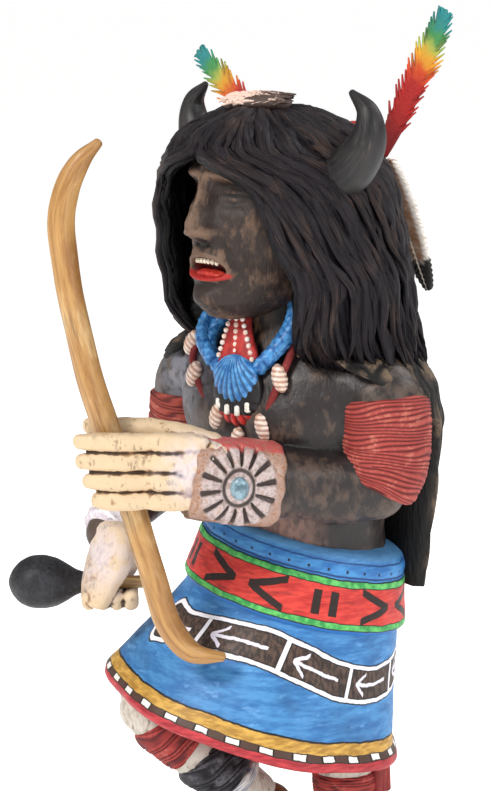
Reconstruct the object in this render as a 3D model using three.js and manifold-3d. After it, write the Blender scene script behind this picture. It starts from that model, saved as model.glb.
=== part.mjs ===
// A carved and painted wooden kachina doll: a horned buffalo dancer in a kilt, stepping
// on a round base, with a bow in the left hand and a gourd rattle in the right.
// Millimetres, +Z up, origin at the centre of the base's underside, the doll facing -Y.

import * as THREE from 'three';
import { mergeVertices } from 'three/addons/utils/BufferGeometryUtils.js';
import Module from 'manifold-3d';

// Driving dimensions
const figureHeight = 317;      // sole to crown; pose and carving are shares of it
const baseDiameter = 128;
const baseThickness = 16;
const baseEdgeRadius = 3;
const fitGap = 0.3;            // between pieces that touch or plug together

const bowRadius = 4.9;
const bowTipRadius = 1.8;
const fingerWidth = 6.9;

const gourdLength = 31;
const gourdRadius = 10.8;
const gourdNeckRadius = 4.2;
const stickRadius = 2.6;
const stickLength = 36;

const hornRootRadius = 10.5;
const hornTipRadius = 1.3;

const featherLength = 61;
const featherWidth = 14;
const featherThickness = 2.4;
const hangingLength = 56;
const hangingWidth = 13;
const quillRadius = 1.3;
const quillDepth = 8;          // how far each quill sits in its hole

const soleSink = 0.8;             // how much the soles are flattened
const shoulderLevel = 245;        // grid height where the hair starts to droop
const hideThickness = 6;       // of the mantle on the back
const shellRadius = 10.5;      // of the pendant on the chest

// The carving's own grid: this many units from sole to crown.
const gridHeight = 317;
const unit = figureHeight / gridHeight;
const grid = (x, y, z) => new THREE.Vector3(x, y, z).multiplyScalar(unit);
const UP = new THREE.Vector3(0, 0, 1);
const BACK = new THREE.Vector3(0, 1, 0);

const wasm = await Module();
wasm.setup();

// Meshes from rings of points

function closedMesh(points, faces) {
  const volume = faces.reduce((sum, [a, b, c]) =>
    sum + points[a].dot(new THREE.Vector3().crossVectors(points[b], points[c])), 0);
  const geometry = new THREE.BufferGeometry();
  geometry.setAttribute('position',
    new THREE.Float32BufferAttribute(points.flatMap((p) => [p.x, p.y, p.z]), 3));
  geometry.setIndex(faces.flatMap(([a, b, c]) => (volume > 0 ? [a, b, c] : [a, c, b])));
  return geometry;
}

// A closed skin over rings of equally many points, with a fan over each end.
function skin(rings) {
  const n = rings[0].length;
  const points = rings.flat();
  const faces = [];
  for (let i = 0; i + 1 < rings.length; i++) {
    for (let j = 0; j < n; j++) {
      const a = i * n + j;
      const b = i * n + (j + 1) % n;
      faces.push([a, b, b + n], [a, b + n, a + n]);
    }
  }
  for (const [ring, start] of [[rings[0], 0], [rings.at(-1), (rings.length - 1) * n]]) {
    const middle = ring.reduce((sum, p) => sum.add(p), new THREE.Vector3()).divideScalar(n);
    points.push(middle);
    const hub = points.length - 1;
    for (let j = 0; j < n; j++) {
      const a = start + j;
      const b = start + (j + 1) % n;
      faces.push(start === 0 ? [hub, b, a] : [hub, a, b]);
    }
  }
  return closedMesh(points, faces);
}

// A closed sheet between two grids of points of the same rows and columns.
function sheet(outer, inner) {
  const rows = outer.length;
  const cols = outer[0].length;
  const points = [...outer.flat(), ...inner.flat()];
  const at = (side, i, j) => side * rows * cols + i * cols + j;
  const faces = [];
  const quad = (a, b, c, d) => faces.push([a, b, c], [a, c, d]);
  for (let i = 0; i + 1 < rows; i++) {
    for (let j = 0; j + 1 < cols; j++) {
      quad(at(0, i, j), at(0, i, j + 1), at(0, i + 1, j + 1), at(0, i + 1, j));
      quad(at(1, i, j), at(1, i + 1, j), at(1, i + 1, j + 1), at(1, i, j + 1));
    }
    quad(at(0, i, 0), at(0, i + 1, 0), at(1, i + 1, 0), at(1, i, 0));
    quad(at(0, i, cols - 1), at(1, i, cols - 1), at(1, i + 1, cols - 1), at(0, i + 1, cols - 1));
  }
  for (let j = 0; j + 1 < cols; j++) {
    quad(at(0, 0, j), at(1, 0, j), at(1, 0, j + 1), at(0, 0, j + 1));
    quad(at(0, rows - 1, j), at(0, rows - 1, j + 1), at(1, rows - 1, j + 1), at(1, rows - 1, j));
  }
  return closedMesh(points, faces);
}

function solid(geometry) {
  const bare = geometry.clone();
  bare.deleteAttribute('normal');
  bare.deleteAttribute('uv');
  const merged = mergeVertices(bare, 1e-4);
  return new wasm.Manifold(new wasm.Mesh({
    numProp: 3,
    vertProperties: new Float32Array(merged.attributes.position.array),
    triVerts: new Uint32Array(merged.index.array),
  }));
}

function geometryOf(manifold) {
  const mesh = manifold.getMesh();
  const geometry = new THREE.BufferGeometry();
  geometry.setAttribute('position', new THREE.BufferAttribute(mesh.vertProperties, 3));
  geometry.setIndex(new THREE.BufferAttribute(mesh.triVerts, 1));
  return geometry;
}

// Forms that the carving is made of

// Half-way between a circle (power 2) and a square (a high power).
function roundness(angle, power) {
  const c = Math.abs(Math.cos(angle));
  const s = Math.abs(Math.sin(angle));
  return 1 / Math.pow(c ** power + s ** power, 1 / power);
}

// A limb along a curve through stops [x, y, z, half-width, half-height] in grid units,
// made thicker all over by grow millimetres where it cuts its own socket.
function limb(stops, { sides = 9, steps = 1, up = UP, power = 2, round = true, grow = 0 } = {}) {
  const path = new THREE.CatmullRomCurve3(stops.map(([x, y, z]) => grid(x, y, z)));
  const sizes = new THREE.CatmullRomCurve3(
    stops.map(([, , , a, b = a]) => new THREE.Vector3(a, b, 0).multiplyScalar(unit)),
    false, 'catmullrom', 0.5);
  const count = (stops.length - 1) * steps;
  const rings = [];
  const place = (t, along, shrink) => {
    const centre = path.getPoint(t);
    const tangent = path.getTangent(t);
    const size = sizes.getPoint(t);
    const across = new THREE.Vector3().crossVectors(up, tangent).normalize();
    const rise = new THREE.Vector3().crossVectors(tangent, across);
    const reach = (Math.min(size.x, size.y) + grow) * along;
    rings.push(Array.from({ length: sides }, (_, j) => {
      const angle = 2 * Math.PI * (j + 0.5) / sides;
      const r = roundness(angle, power) * shrink;
      return centre.clone()
        .addScaledVector(tangent, reach)
        .addScaledVector(across, Math.cos(angle) * r * (size.x + grow))
        .addScaledVector(rise, Math.sin(angle) * r * (size.y + grow));
    }));
  };
  if (round) place(0, -0.6, 0.62);
  for (let i = 0; i <= count; i++) place(i / count, 0, 1);
  if (round) place(1, 0.6, 0.62);
  return skin(rings);
}

// A body of level rings: stops [z, half-width, half-depth, x, y] in grid units, leaning by
// slopes of height per unit of x and y; relief(angle, z) is a share added to the radius.
function stack(stops, { sides = 18, power = 2, lean = [0, 0], relief = () => 0 } = {}) {
  return skin(stops.map(([z, a, b, x = 0, y = 0]) =>
    Array.from({ length: sides }, (_, j) => {
      const angle = 2 * Math.PI * (j + 0.5) / sides;
      const r = roundness(angle, power) * (1 + relief(angle, z));
      const dx = Math.cos(angle) * a * r;
      const dy = Math.sin(angle) * b * r;
      return grid(x + dx, y + dy, z + lean[0] * dx + lean[1] * dy);
    })));
}

function pebble(x, y, z, rx, ry, rz, detail = 6) {
  const ball = new THREE.SphereGeometry(1, detail, Math.max(4, detail - 2));
  ball.rotateX(Math.PI / 2);
  ball.scale(rx * unit, ry * unit, rz * unit);
  const centre = grid(x, y, z);
  ball.translate(centre.x, centre.y, centre.z);
  return ball;
}

// A frame turned about Z, at a hand or on the head, which turns its own numbers into stops.
function turnedFrame(x, y, z, turn) {
  const c = Math.cos(turn);
  const s = Math.sin(turn);
  return (along, out, high, ...sizes) =>
    [x + along * c - out * s, y + along * s + out * c, z + high, ...sizes];
}

// Pose, in grid units

const pelvisLean = [-0.16, -0.13];     // the right hip is raised by the raised knee
const hemLean = [-0.19, -0.15];
const headTurn = THREE.MathUtils.degToRad(-10);
const head = turnedFrame(-2, -12, 0, headTurn);
const gripTurn = THREE.MathUtils.degToRad(-140);
const leftGrip = turnedFrame(-20, -80.8, 190, gripTurn);      // on the bow
const rightGrip = turnedFrame(-52.5, -50, 129, gripTurn);     // on the rattle's stick

const bowPath = [[-23.8, -84, 306], [-30, -89, 297], [-34.2, -92.6, 281], [-33, -91.7, 258],
  [-27.5, -87, 222], [-19.5, -80.4, 188], [-11.5, -73.6, 153], [-5.5, -68.5, 126],
  [1.5, -62.6, 114], [10.5, -55.2, 112]];
const bowStops = bowPath.map((place, i) => {
  const share = i / (bowPath.length - 1);
  const taper = Math.pow(Math.abs(2 * share - 1), 5);
  return [...place, (bowRadius - (bowRadius - bowTipRadius) * taper) / unit];
});

const hornPath = [[30, 2, 291], [42, 3, 296], [50.2, 3.5, 306.5], [50.4, 3.2, 316.5], [42.5, 2.6, 323.5]];
const hornStops = (side) => hornPath.map(([x, y, z], i) => {
  const taper = Math.pow(i / (hornPath.length - 1), 1.35);
  const radius = hornRootRadius + (hornTipRadius - hornRootRadius) * taper;
  return head(side * x, y, z, radius / unit);
});

// Feathers: [root x, y, z, lean to the side, lean back, rise]
const leftFeather = [27, 32.5, 299, 0.52, 0.1, 1];
const rightFeather = [-30.5, 28, 297, -1.25, -0.02, 1];
const hangingFeathers = [
  ['feather_hanging_left', 18.5, 44, 295, 0.06, 0.36, -1],
  ['feather_hanging_middle', 0, 50, 297, 0, 0.32, -1],
  ['feather_hanging_right', -18.5, 44, 295, -0.06, 0.36, -1],
];

// The one piece that is the doll itself

function legs() {
  const left = limb([[19, 2, 118, 16], [24, 2, 84, 13.2], [25, 1, 66, 12], [25, 1, 62, 13.6],
    [25.4, 2.5, 52, 13.4], [25.6, 3, 50, 12.2], [26, 4, 30, 11], [26, 4, 24, 14.4],
    [26, 4, 15, 14.6], [26, 4, 12, 9.5]], { up: BACK });
  const thigh = limb([[-16, -6, 112, 17], [-27, -30, 93, 14.5], [-38, -47, 81, 11.6]]);
  const shin = limb([[-38, -47.5, 81.5, 10.8], [-32.5, -45, 75, 10.2], [-31.5, -44.5, 73.6, 11.6],
    [-23.5, -36.5, 64, 11.6], [-20, -32, 59, 13], [-13, -20.5, 48.5, 12.6], [-12, -19, 47, 10],
    [-8, -13, 40, 9.2]]);
  return [left, thigh, shin];
}

function moccasins() {
  const left = limb([[26, 16, 9.5, 8.5, 9], [26, 4, 10.5, 9.2, 10.3], [25, -12, 8, 10.2, 8],
    [23, -27, 6, 9.6, 6], [21.5, -36, 4.6, 6.6, 4.6]], { power: 2.6 });
  const right = limb([[-4, -7, 38, 8.6, 8.4], [-8, -13, 24, 9.4, 8.4], [-12, -21, 11, 9.8, 7.4],
    [-16, -31, 6.2, 8.6, 5.8], [-18, -37, 4.8, 6, 4.4]], { power: 2.4 });
  const wide = 2 * baseDiameter;
  const ground = new THREE.BoxGeometry(wide, wide, wide).translate(0, 0, -wide / 2);
  return [left, right].map((shoe) => solid(shoe.translate(0, 0, -soleSink)).subtract(solid(ground)));
}

function kilt() {
  const scallop = (angle, z) => (z < 104 ? 0.018 * Math.sin(7 * angle) * (104 - z) / 30 : 0);
  const skirt = stack([[86, 44, 40, -11, -10], [75, 55, 49, -12, -11], [73.5, 59.5, 53.5, -12, -11],
    [76.5, 60.6, 54.6, -12, -11], [80, 59.2, 53.2, -12, -11], [98, 51.5, 45.5, -6.5, -6],
    [118, 44, 38, 0, -0.5], [134, 40, 34, 3, 1.5], [151, 37, 31, 5.5, 3]],
  { sides: 24, lean: hemLean, relief: scallop });
  const sash = stack([[121, 44, 37.6, 0, 0], [123, 46.6, 40.2, 0, 0], [133, 44.4, 37.8, 2, 1],
    [143.5, 42.4, 36, 3.8, 1.9], [149, 41, 35, 4.6, 2.4], [152.5, 37.4, 31.6, 4.6, 2.2]], { sides: 24, lean: pelvisLean });
  return [skirt, sash];
}

function torso() {
  const chest = (angle, z) => {
    const front = Math.max(0, -Math.sin(angle));
    const midline = Math.exp(-((angle - 1.5 * Math.PI) ** 2) / 0.02);
    const breast = Math.exp(-((z - 199) ** 2) / 160);
    return 0.07 * breast * front ** 2 - 0.05 * midline * breast;
  };
  return stack([[124, 37, 30, 4, 2], [142, 35, 28, 4, 1], [156, 36.5, 28, 2, 0], [172, 39, 29],
    [184, 42.5, 30, 0, -1], [190, 44.5, 31, 0, -2], [199, 46.5, 32, 0, -3], [209, 47, 30.5, 0, -3],
    [218, 42, 27, 0, -4], [226, 30, 21, 0, -5], [234, 18, 17, -1, -7], [250, 15, 15, -2, -9]],
  { power: 2.2, relief: chest });
}

function arms() {
  const leftUpper = limb([[38, -4, 216, 15, 13], [45.5, -3.5, 209, 15.8, 16], [47, -3.5, 206, 16, 16.4],
    [47.4, -3.5, 204.5, 17, 17.2], [48.6, -4, 190, 16.6, 17.2], [48, -6, 182, 15.8, 16.4],
    [45.2, -9.4, 176.4, 14, 14.6]], { up: BACK });
  const leftFore = limb([[47, -6, 176.5, 13.4], [40, -14, 175.5, 13.8], [28, -31, 177, 12.2, 12.6],
    [22.6, -39, 178.2, 13.2, 15.6], [16, -47.6, 179.4, 13.6, 16.4], [3.2, -64.6, 182.4, 11.4, 15.4],
    [1, -67, 183, 8, 11]], { power: 2.6 });
  const rightUpper = limb([[-44, -2, 212, 14, 12], [-52, 0, 205, 14.6, 15], [-53.4, 0, 200, 14.2, 14.8],
    [-53.6, 0, 198.5, 15.8, 16], [-55.4, 0, 185, 15.2, 15.8], [-55.5, 0, 183.5, 13.2, 14],
    [-57, -3, 165, 11.5, 12]], { up: BACK });
  const rightFore = limb([[-57, -3, 166, 12], [-57.5, -22, 161, 12], [-57.5, -34, 154.6, 9.8],
    [-57.5, -35.5, 153.6, 11.4], [-57.4, -46, 147.4, 10.8], [-57, -48, 146, 8.8]]);
  return [leftUpper, leftFore, rightUpper, rightFore];
}

function leftHand() {
  const outer = (bowRadius + fingerWidth / 2) / unit;
  const half = fingerWidth / 2 / unit;
  const reaches = [12.7, 12.1, 9.4, 6.4];
  const fingers = reaches.map((reach, i) => {
    const high = 6.4 - i * 2 * half;
    return limb([leftGrip(-30, outer - 1.5, high * 1.06, half), leftGrip(-14, outer, high, half),
      leftGrip(reach, outer - 0.8, high, half * 0.92)], { sides: 8, power: 2.8 });
  });
  const palm = limb([leftGrip(-50, -1, -8, 7.5, 11), leftGrip(-40, 2.4, -6, 7.6, 13),
    leftGrip(-26, 3, -4, 8, 13.8), leftGrip(-9, 1, -3.4, 6, 13)],
  { sides: 12, power: 3, round: false });
  const thumb = limb([leftGrip(-36, -2, 6, 5.2), leftGrip(-20, -7.2, 10.6, 4.4),
    leftGrip(10, -7.8, 10.4, 3.6)], { sides: 6 });
  return [...fingers, palm, thumb];
}

function rightHand() {
  const wrap = stickRadius / unit + 3;
  const back = limb([rightGrip(-3, 0, 20, 9.4, 7), rightGrip(0, 3, 10, 10.5, 5.6),
    rightGrip(4.5, 6.2, 0, 8.2, 4.4), rightGrip(6, 6, -6, 6.4, 4)], { up: BACK, power: 2.6 });
  const fingers = [8.4, 2.9, -2.6, -8.1].map((along) =>
    limb([rightGrip(along, wrap + 1, -4, 3), rightGrip(along, wrap * 0.4, -wrap - 2.4, 3),
      rightGrip(along, -wrap * 0.9, -wrap * 0.5, 2.7)], { sides: 6, up: BACK }));
  const thumb = limb([rightGrip(-8, -2, 13, 4.2), rightGrip(-6, -wrap - 1, 3, 3.4),
    rightGrip(2, -wrap - 0.8, -1, 3)], { sides: 8 });
  return [back, ...fingers, thumb];
}

// The face is a long oval with a strong nose, heavy brow and an open mouth.
function face() {
  const levels = [[235, 8, 14, 0, -13], [238.5, 12, 20, 0, -10.5], [243, 16, 27, 0, -5.5],
    [253, 22, 33.5, 0, 1.5], [262, 24, 34.5, 0, 2], [272, 26, 34.5, 0, 2], [283, 26, 32, 0, 2],
    [291, 26, 34.5, 0, 2], [301, 24, 32, 0, 2], [309, 17, 24, 0, 2]];
  const turned = levels.map(([z, a, b, x, y]) =>
    Array.from({ length: 18 }, (_, j) => {
      const angle = 2 * Math.PI * (j + 0.5) / 18;
      return grid(...head(x + a * Math.cos(angle), y + b * Math.sin(angle), z));
    }));
  const nose = limb([head(0, -30, 291, 3, 3), head(0, -34.5, 284, 3.2, 3.4),
    head(0, -37.6, 275, 4.4, 3.8), head(0, -36.6, 269.5, 5.2, 3)], { sides: 8 });
  const brow = limb([head(-19, -25, 291, 3), head(-9, -32, 293.5, 3), head(0, -33, 292.5, 2.6),
    head(9, -32, 293.5, 3), head(19, -25, 291, 3)], { sides: 6 });
  const mouth = limb([head(-9.5, -29, 257.4, 3, 2), head(0, -34.6, 257.6, 4.5, 3.2),
    head(9.5, -29, 257.4, 3, 2)], { sides: 8 });
  return [[skin(turned), nose, brow], mouth];
}

// The buffalo-hair hood: long locks from the crown over the head and round the face.
function hood() {
  const locks = 12;
  const ridge = (angle, z) => {
    const below = gridHeight - z;
    return 0.034 * Math.cos(angle * locks + 0.055 * below) * Math.min(1, below / 12);
  };
  const levels = [[317, 5, 6, 0, -2], [314.5, 17, 19, 0, -1], [307, 31, 33, 0, 0],
    [297, 39, 41, 0, 1.5], [284, 43, 45, 0, 3.5], [266, 44.5, 46.5, 0, 6],
    [247, 48, 45, 0, 9], [233, 52, 40, 0, 14.5], [220, 54, 30, 0, 24]];
  const sides = locks * 3;
  const outer = levels.map(([z, a, b, x, y]) =>
    Array.from({ length: sides }, (_, j) => {
      const angle = 2 * Math.PI * (j + 0.5) / sides;
      const r = 1 + ridge(angle, z);
      const droop = z < shoulderLevel ? 0.08 * a * Math.cos(angle) ** 2 : 0;
      return grid(...head(x + a * r * Math.cos(angle), y + b * r * Math.sin(angle), z - droop));
    }));
  const hollow = [[200, 36, 40, 0, -36], [222, 33, 38, 0, -34], [240, 30.5, 35, 0, -32],
    [268, 29.5, 33, 0, -31], [288, 28, 31, 0, -30], [299, 22, 26, 0, -30], [304, 9, 18, 0, -32]]
    .map(([z, a, b, x, y]) => Array.from({ length: 18 }, (_, j) => {
      const angle = 2 * Math.PI * (j + 0.5) / 18;
      return grid(...head(x + a * Math.cos(angle), y + b * Math.sin(angle), z));
    }));
  return solid(skin(outer)).subtract(solid(skin(hollow)));
}

// The hide mantle over the shoulders: one with the back, with free edges at the sides.
function mantle() {
  const rows = [[230, 43.5, 33.5, -38], [221.5, 55.5, 41.5, -28], [211, 63, 45.5, -4],
    [198, 65, 47, 16], [176, 62.5, 47, 25], [150, 60, 46, 30], [129, 57.5, 44.5, 33]];
  const columns = 19;
  const edge = hideThickness / unit;
  const place = (row, j, inner) => {
    const [z, a, b, from] = rows[row];
    const share = j / (columns - 1);
    const angle = THREE.MathUtils.degToRad(from + (180 - 2 * from) * share);
    const inset = inner ? edge + 15 * Math.sqrt(Math.sin(Math.PI * share)) : -1.5 * (j % 2);
    const ragged = row === rows.length - 1 ? 3 * ((j % 4) - 1.5) : 0;
    return grid((a - inset) * Math.cos(angle), (b - inset) * Math.sin(angle), z + ragged);
  };
  const layer = (inner) => rows.map((_, i) =>
    Array.from({ length: columns }, (__, j) => place(i, j, inner)));
  return sheet(layer(false), layer(true));
}

// Necklace, pendant shell and its scalloped drop, carved in relief on the chest.
function necklace() {
  const collar = limb([[-22, -18, 235, 4, 5], [-20, -26, 226, 4.4, 6], [0, -31, 222, 4.4, 7],
    [15, -26, 229, 4.4, 6], [18, -18, 239, 4, 5]], { sides: 8 });
  const pendant = pebble(0, -33, 214.5, shellRadius / unit, 4, shellRadius / unit, 10);
  const drop = pebble(0, -32.4, 207, 11.2, 4, 9.5, 8);
  const beads = [[-32, -20, 222], [-25, -29.5, 213.5], [18, -22, 229], [19, -31.5, 217],
    [13, -34, 198], [1, -34.5, 191], [-9.5, -34.5, 199.5]]
    .map(([x, y, z]) => pebble(x, y, z, 3, 3, 5.4));
  return [collar, pendant, drop, ...beads];
}

// Feathers

// A feather from its root along a direction, its flat side facing the given way.
function featherFrame([x, y, z, dx, dy, dz]) {
  const root = grid(x, y, z);
  const along = new THREE.Vector3(dx, dy, dz).normalize();
  const across = new THREE.Vector3().crossVectors(BACK, along).normalize();
  const out = new THREE.Vector3().crossVectors(along, across);
  return { root, along, across, out };
}

function feather(place, length, width, serration) {
  const { root, along, across, out } = featherFrame(place);
  const steps = 8;
  const rings = [];
  for (let i = 0; i <= steps; i++) {
    const t = i / steps;
    const vane = Math.pow(Math.sin(Math.PI * Math.min(1, 0.1 + 0.9 * t) ** 0.9), 0.6);
    const notch = 1 - serration * (i % 2);
    const half = i === 0 ? quillRadius * 1.5 : Math.max(0.7, width / 2 * vane * notch);
    const thick = featherThickness / 2 * (1 - 0.6 * t);
    const centre = root.clone().addScaledVector(along, t * length);
    rings.push([[-1, 0], [-0.3, 0.7], [0, 1], [0.3, 0.7], [1, 0], [0, -1]].map(([a, b]) =>
      centre.clone().addScaledVector(across, a * half).addScaledVector(out, b * thick)));
  }
  const blade = solid(skin(rings));
  return blade.add(solid(quill(place, 0)));
}

function quill(place, grow) {
  const { root, along } = featherFrame(place);
  const reach = quillDepth + grow;
  const rod = new THREE.CylinderGeometry(quillRadius + grow, quillRadius + grow, reach + 3, 6);
  rod.translate(0, 1.5 - reach / 2, 0);
  rod.applyQuaternion(new THREE.Quaternion().setFromUnitVectors(BACK, along));
  return rod.translate(root.x, root.y, root.z);
}

const onHead = ([x, y, z, dx, dy, dz]) => {
  const turned = head(x, y, z);
  const lean = turnedFrame(0, 0, 0, headTurn)(dx, dy, dz);
  return [...turned, ...lean];
};
const featherPlaces = {
  feather_left: onHead(leftFeather),
  feather_right: onHead(rightFeather),
  ...Object.fromEntries(hangingFeathers.map(([name, ...place]) => [name, onHead(place)])),
};

// Pieces that plug in or lie in a hand

const rattleAxis = new THREE.Vector3(Math.cos(gripTurn), Math.sin(gripTurn), 0);
const stickEnd = 17;           // from the grip to the end of the stick inside the gourd

function alongRattle(geometry, from) {
  geometry.applyQuaternion(new THREE.Quaternion().setFromUnitVectors(BACK, rattleAxis));
  const centre = grid(...rightGrip(0, 0, 0)).addScaledVector(rattleAxis, from);
  return geometry.translate(centre.x, centre.y, centre.z);
}

function stick(grow) {
  const radius = stickRadius + grow;
  const rod = new THREE.CylinderGeometry(radius, radius, stickLength + 2 * grow, 12);
  return alongRattle(rod, stickEnd - stickLength / 2);
}

function gourd(grow) {
  const profile = [[0, 0]];
  const steps = 8;
  for (let i = 0; i <= steps; i++) {
    const t = (i / steps) ** 0.9;
    const bulge = Math.max(0, Math.sin(Math.PI * (0.06 + 0.94 * t))) ** 0.62;
    const radius = gourdNeckRadius * (1 - t) ** 3 + gourdRadius * bulge * (1 - (1 - t) ** 5);
    profile.push([i === steps ? 0 : radius + grow, t * gourdLength + (i ? grow : -grow)]);
  }
  const body = new THREE.LatheGeometry(profile.map(([x, y]) => new THREE.Vector2(x, y)), 12);
  return alongRattle(body, stickEnd - 7.5);
}

function crownTuft(grow) {
  return limb([head(-8, -14, 317.6, 3.2, 2), head(-3, -10, 319, 5.6, 4),
    head(4, -4, 319.6, 6.4, 4.2), head(10, 1, 318.6, 5.2, 3.6)], { sides: 10, grow });
}

function featherKnot(grow) {
  return limb([head(-19, 39, 300.5, 4.8, 5), head(0, 44, 303.5, 5.6, 6),
    head(19, 39, 300.5, 4.8, 5)], { sides: 8, steps: 2, grow });
}

function horn(side, grow) {
  return limb(hornStops(side), { sides: 8, steps: 2, up: BACK, grow });
}

function bow(grow) {
  return limb(bowStops, { sides: 10, up: BACK, grow });
}

// Assembly

const joined = (geometries) => geometries
  .map((g) => (g instanceof THREE.BufferGeometry ? solid(g) : g))
  .reduce((whole, piece) => whole.add(piece));

function figure() {
  const [faceForms, mouth] = face();
  const headSolid = joined(faceForms).subtract(solid(mouth));
  const body = joined([...legs(), ...moccasins(), ...kilt(), torso(), ...arms(), ...leftHand(),
    ...rightHand(), hood(), mantle(), ...necklace()]).add(headSolid);
  const sockets = [bow(fitGap), stick(fitGap), gourd(fitGap), horn(1, fitGap), horn(-1, fitGap),
    crownTuft(fitGap), featherKnot(fitGap)];
  return sockets.reduce((whole, piece) => whole.subtract(solid(piece)), body);
}

function base() {
  const radius = baseDiameter / 2;
  const profile = [[0, 0], [radius - 1, 0], [radius, 1]];
  const steps = 2;
  for (let i = 0; i <= steps; i++) {
    const angle = Math.PI / 2 * i / steps;
    profile.push([radius - baseEdgeRadius * (1 - Math.cos(angle)),
      baseThickness - baseEdgeRadius * (1 - Math.sin(angle))]);
  }
  profile.push([0, baseThickness]);
  const disc = new THREE.LatheGeometry(profile.map(([x, y]) => new THREE.Vector2(x, y)), 30);
  return disc.rotateX(Math.PI / 2);
}

const paint = {
  figure: [0x3a2c26, 0.7],
  wood: [0xc9974f, 0.55],
  horn: [0x2a2625, 0.5],
  gourd: [0x1d1a1b, 0.5],
  red_feather: [0xa8452a, 0.7],
  eagle_feather: [0xd8cbb8, 0.7],
  tuft: [0xb09a8c, 0.8],
  knot: [0xa11f1c, 0.8],
  base: [0x8a6238, 0.6],
};

function piece(name, shape, [color, roughness]) {
  const closed = geometryOf(shape instanceof THREE.BufferGeometry ? solid(shape) : shape);
  const material = new THREE.MeshStandardMaterial({ color, roughness, metalness: 0 });
  const mesh = new THREE.Mesh(closed, material);
  mesh.name = name;
  return mesh;
}

const doll = new THREE.Group();
doll.position.z = baseThickness + fitGap;

const quillHoles = Object.values(featherPlaces).map((place) => solid(quill(place, fitGap)));
const knotSolid = quillHoles.reduce((whole, hole) => whole.subtract(hole), solid(featherKnot(0)));
const figureSolid = quillHoles.reduce((whole, hole) => whole.subtract(hole), figure());

doll.add(piece('figure', figureSolid, paint.figure));
doll.add(piece('feather_knot', knotSolid, paint.knot));
doll.add(piece('crown_tuft', crownTuft(0), paint.tuft));
doll.add(piece('horn_left', horn(1, 0), paint.horn));
doll.add(piece('horn_right', horn(-1, 0), paint.horn));
doll.add(piece('bow', bow(0), paint.wood));

doll.add(piece('rattle_stick', stick(0), paint.wood));
doll.add(piece('rattle_gourd', solid(gourd(0)).subtract(solid(stick(fitGap))), paint.gourd));

for (const [name, place] of Object.entries(featherPlaces)) {
  const tall = name === 'feather_left' || name === 'feather_right';
  const blade = tall
    ? feather(place, featherLength, featherWidth, 0.16)
    : feather(place, hangingLength, hangingWidth, 0.04);
  doll.add(piece(name, blade, tall ? paint.red_feather : paint.eagle_feather));
}

const whole = new THREE.Group();
whole.add(piece('base', base(), paint.base));
whole.add(doll);

export default whole;
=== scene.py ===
"""Looks of a carved and painted wooden dancer doll in a horned buffalo-hair hood.

Sizes are millimetres in the doll's own grid: its soles stand at height 0, it faces -Y and its
left hand is at +X. The grid is lifted on to the base when a mesh is made.
"""
import math

import bmesh
import bpy
import numpy as np
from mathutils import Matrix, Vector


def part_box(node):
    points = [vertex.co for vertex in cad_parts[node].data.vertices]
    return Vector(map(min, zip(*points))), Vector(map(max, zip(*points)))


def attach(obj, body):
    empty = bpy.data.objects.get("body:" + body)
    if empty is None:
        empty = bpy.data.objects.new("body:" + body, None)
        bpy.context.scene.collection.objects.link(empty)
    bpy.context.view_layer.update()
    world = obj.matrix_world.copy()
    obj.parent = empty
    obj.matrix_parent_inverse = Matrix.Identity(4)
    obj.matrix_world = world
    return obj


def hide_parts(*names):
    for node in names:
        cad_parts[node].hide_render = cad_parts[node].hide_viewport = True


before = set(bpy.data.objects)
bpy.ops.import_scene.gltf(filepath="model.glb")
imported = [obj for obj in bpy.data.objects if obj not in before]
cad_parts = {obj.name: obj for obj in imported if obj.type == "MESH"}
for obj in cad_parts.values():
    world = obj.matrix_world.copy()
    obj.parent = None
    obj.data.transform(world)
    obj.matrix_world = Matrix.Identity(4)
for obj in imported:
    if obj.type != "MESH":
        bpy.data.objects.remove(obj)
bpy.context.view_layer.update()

FIT_GAP = 0.3
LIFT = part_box("base")[1][2] * 1000 + FIT_GAP
UP = np.array([0.0, 0.0, 1.0])
BACK = np.array([0.0, 1.0, 0.0])
BOW_RADIUS = 4.9
BOW_TIP_RADIUS = 1.8
FINGER_WIDTH = 6.9
STICK_RADIUS = 2.6
HORN_ROOT = 10.5
HORN_TIP = 1.3
FEATHER_LENGTH = 61
FEATHER_WIDTH = 14
HANGING_LENGTH = 56
HANGING_WIDTH = 13
HIDE_THICKNESS = 6
PELVIS_LEAN = (-0.16, -0.13)
HEM_LEAN = (-0.19, -0.15)
HEM_LEVEL = 73.5
SKY_STRENGTH = 0.4
SASH_LEVEL = 133
BODY_VOXEL = 1.45
HAND_VOXEL = 0.62
LOCK_COUNT = 400
TUFT_STROKES = 150
FEATHER_BARBS = 24
HEAD_TURN = -10
GRIP_TURN = -140
PHOTO_HEIGHT = 791
FOCAL_LENGTH = 2176
SENSOR_HEIGHT = 36
CAP_TURNS = (0.4, 0.8, 1.15, 1.4)
draws = np.random.default_rng(11)


# Numbers: smooth noise, turned frames and rows of stops

def cloud(points, size, seed=0):
    """Smooth values between -1 and 1 that change over about size millimetres."""
    q = np.asarray(points, float) / size + 17.31 * seed + 100
    cell = np.floor(q).astype(np.int64)
    part = q - cell
    part = part * part * (3 - 2 * part)
    total = np.zeros(q.shape[:-1])
    for corner in np.ndindex(2, 2, 2):
        c = cell + np.array(corner)
        mixed = (c[..., 0] * 73856093) ^ (c[..., 1] * 19349663) ^ (c[..., 2] * 83492791)
        mixed = (mixed ^ (mixed >> 13)) * 1274126177
        value = ((mixed ^ (mixed >> 16)) & 1023) / 511.5 - 1
        weight = np.prod(np.where(np.array(corner) == 1, part, 1 - part), axis=-1)
        total += value * weight
    return total


def bell(value, centre, width):
    return np.exp(-((np.asarray(value, float) - centre) / width) ** 2)


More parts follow.
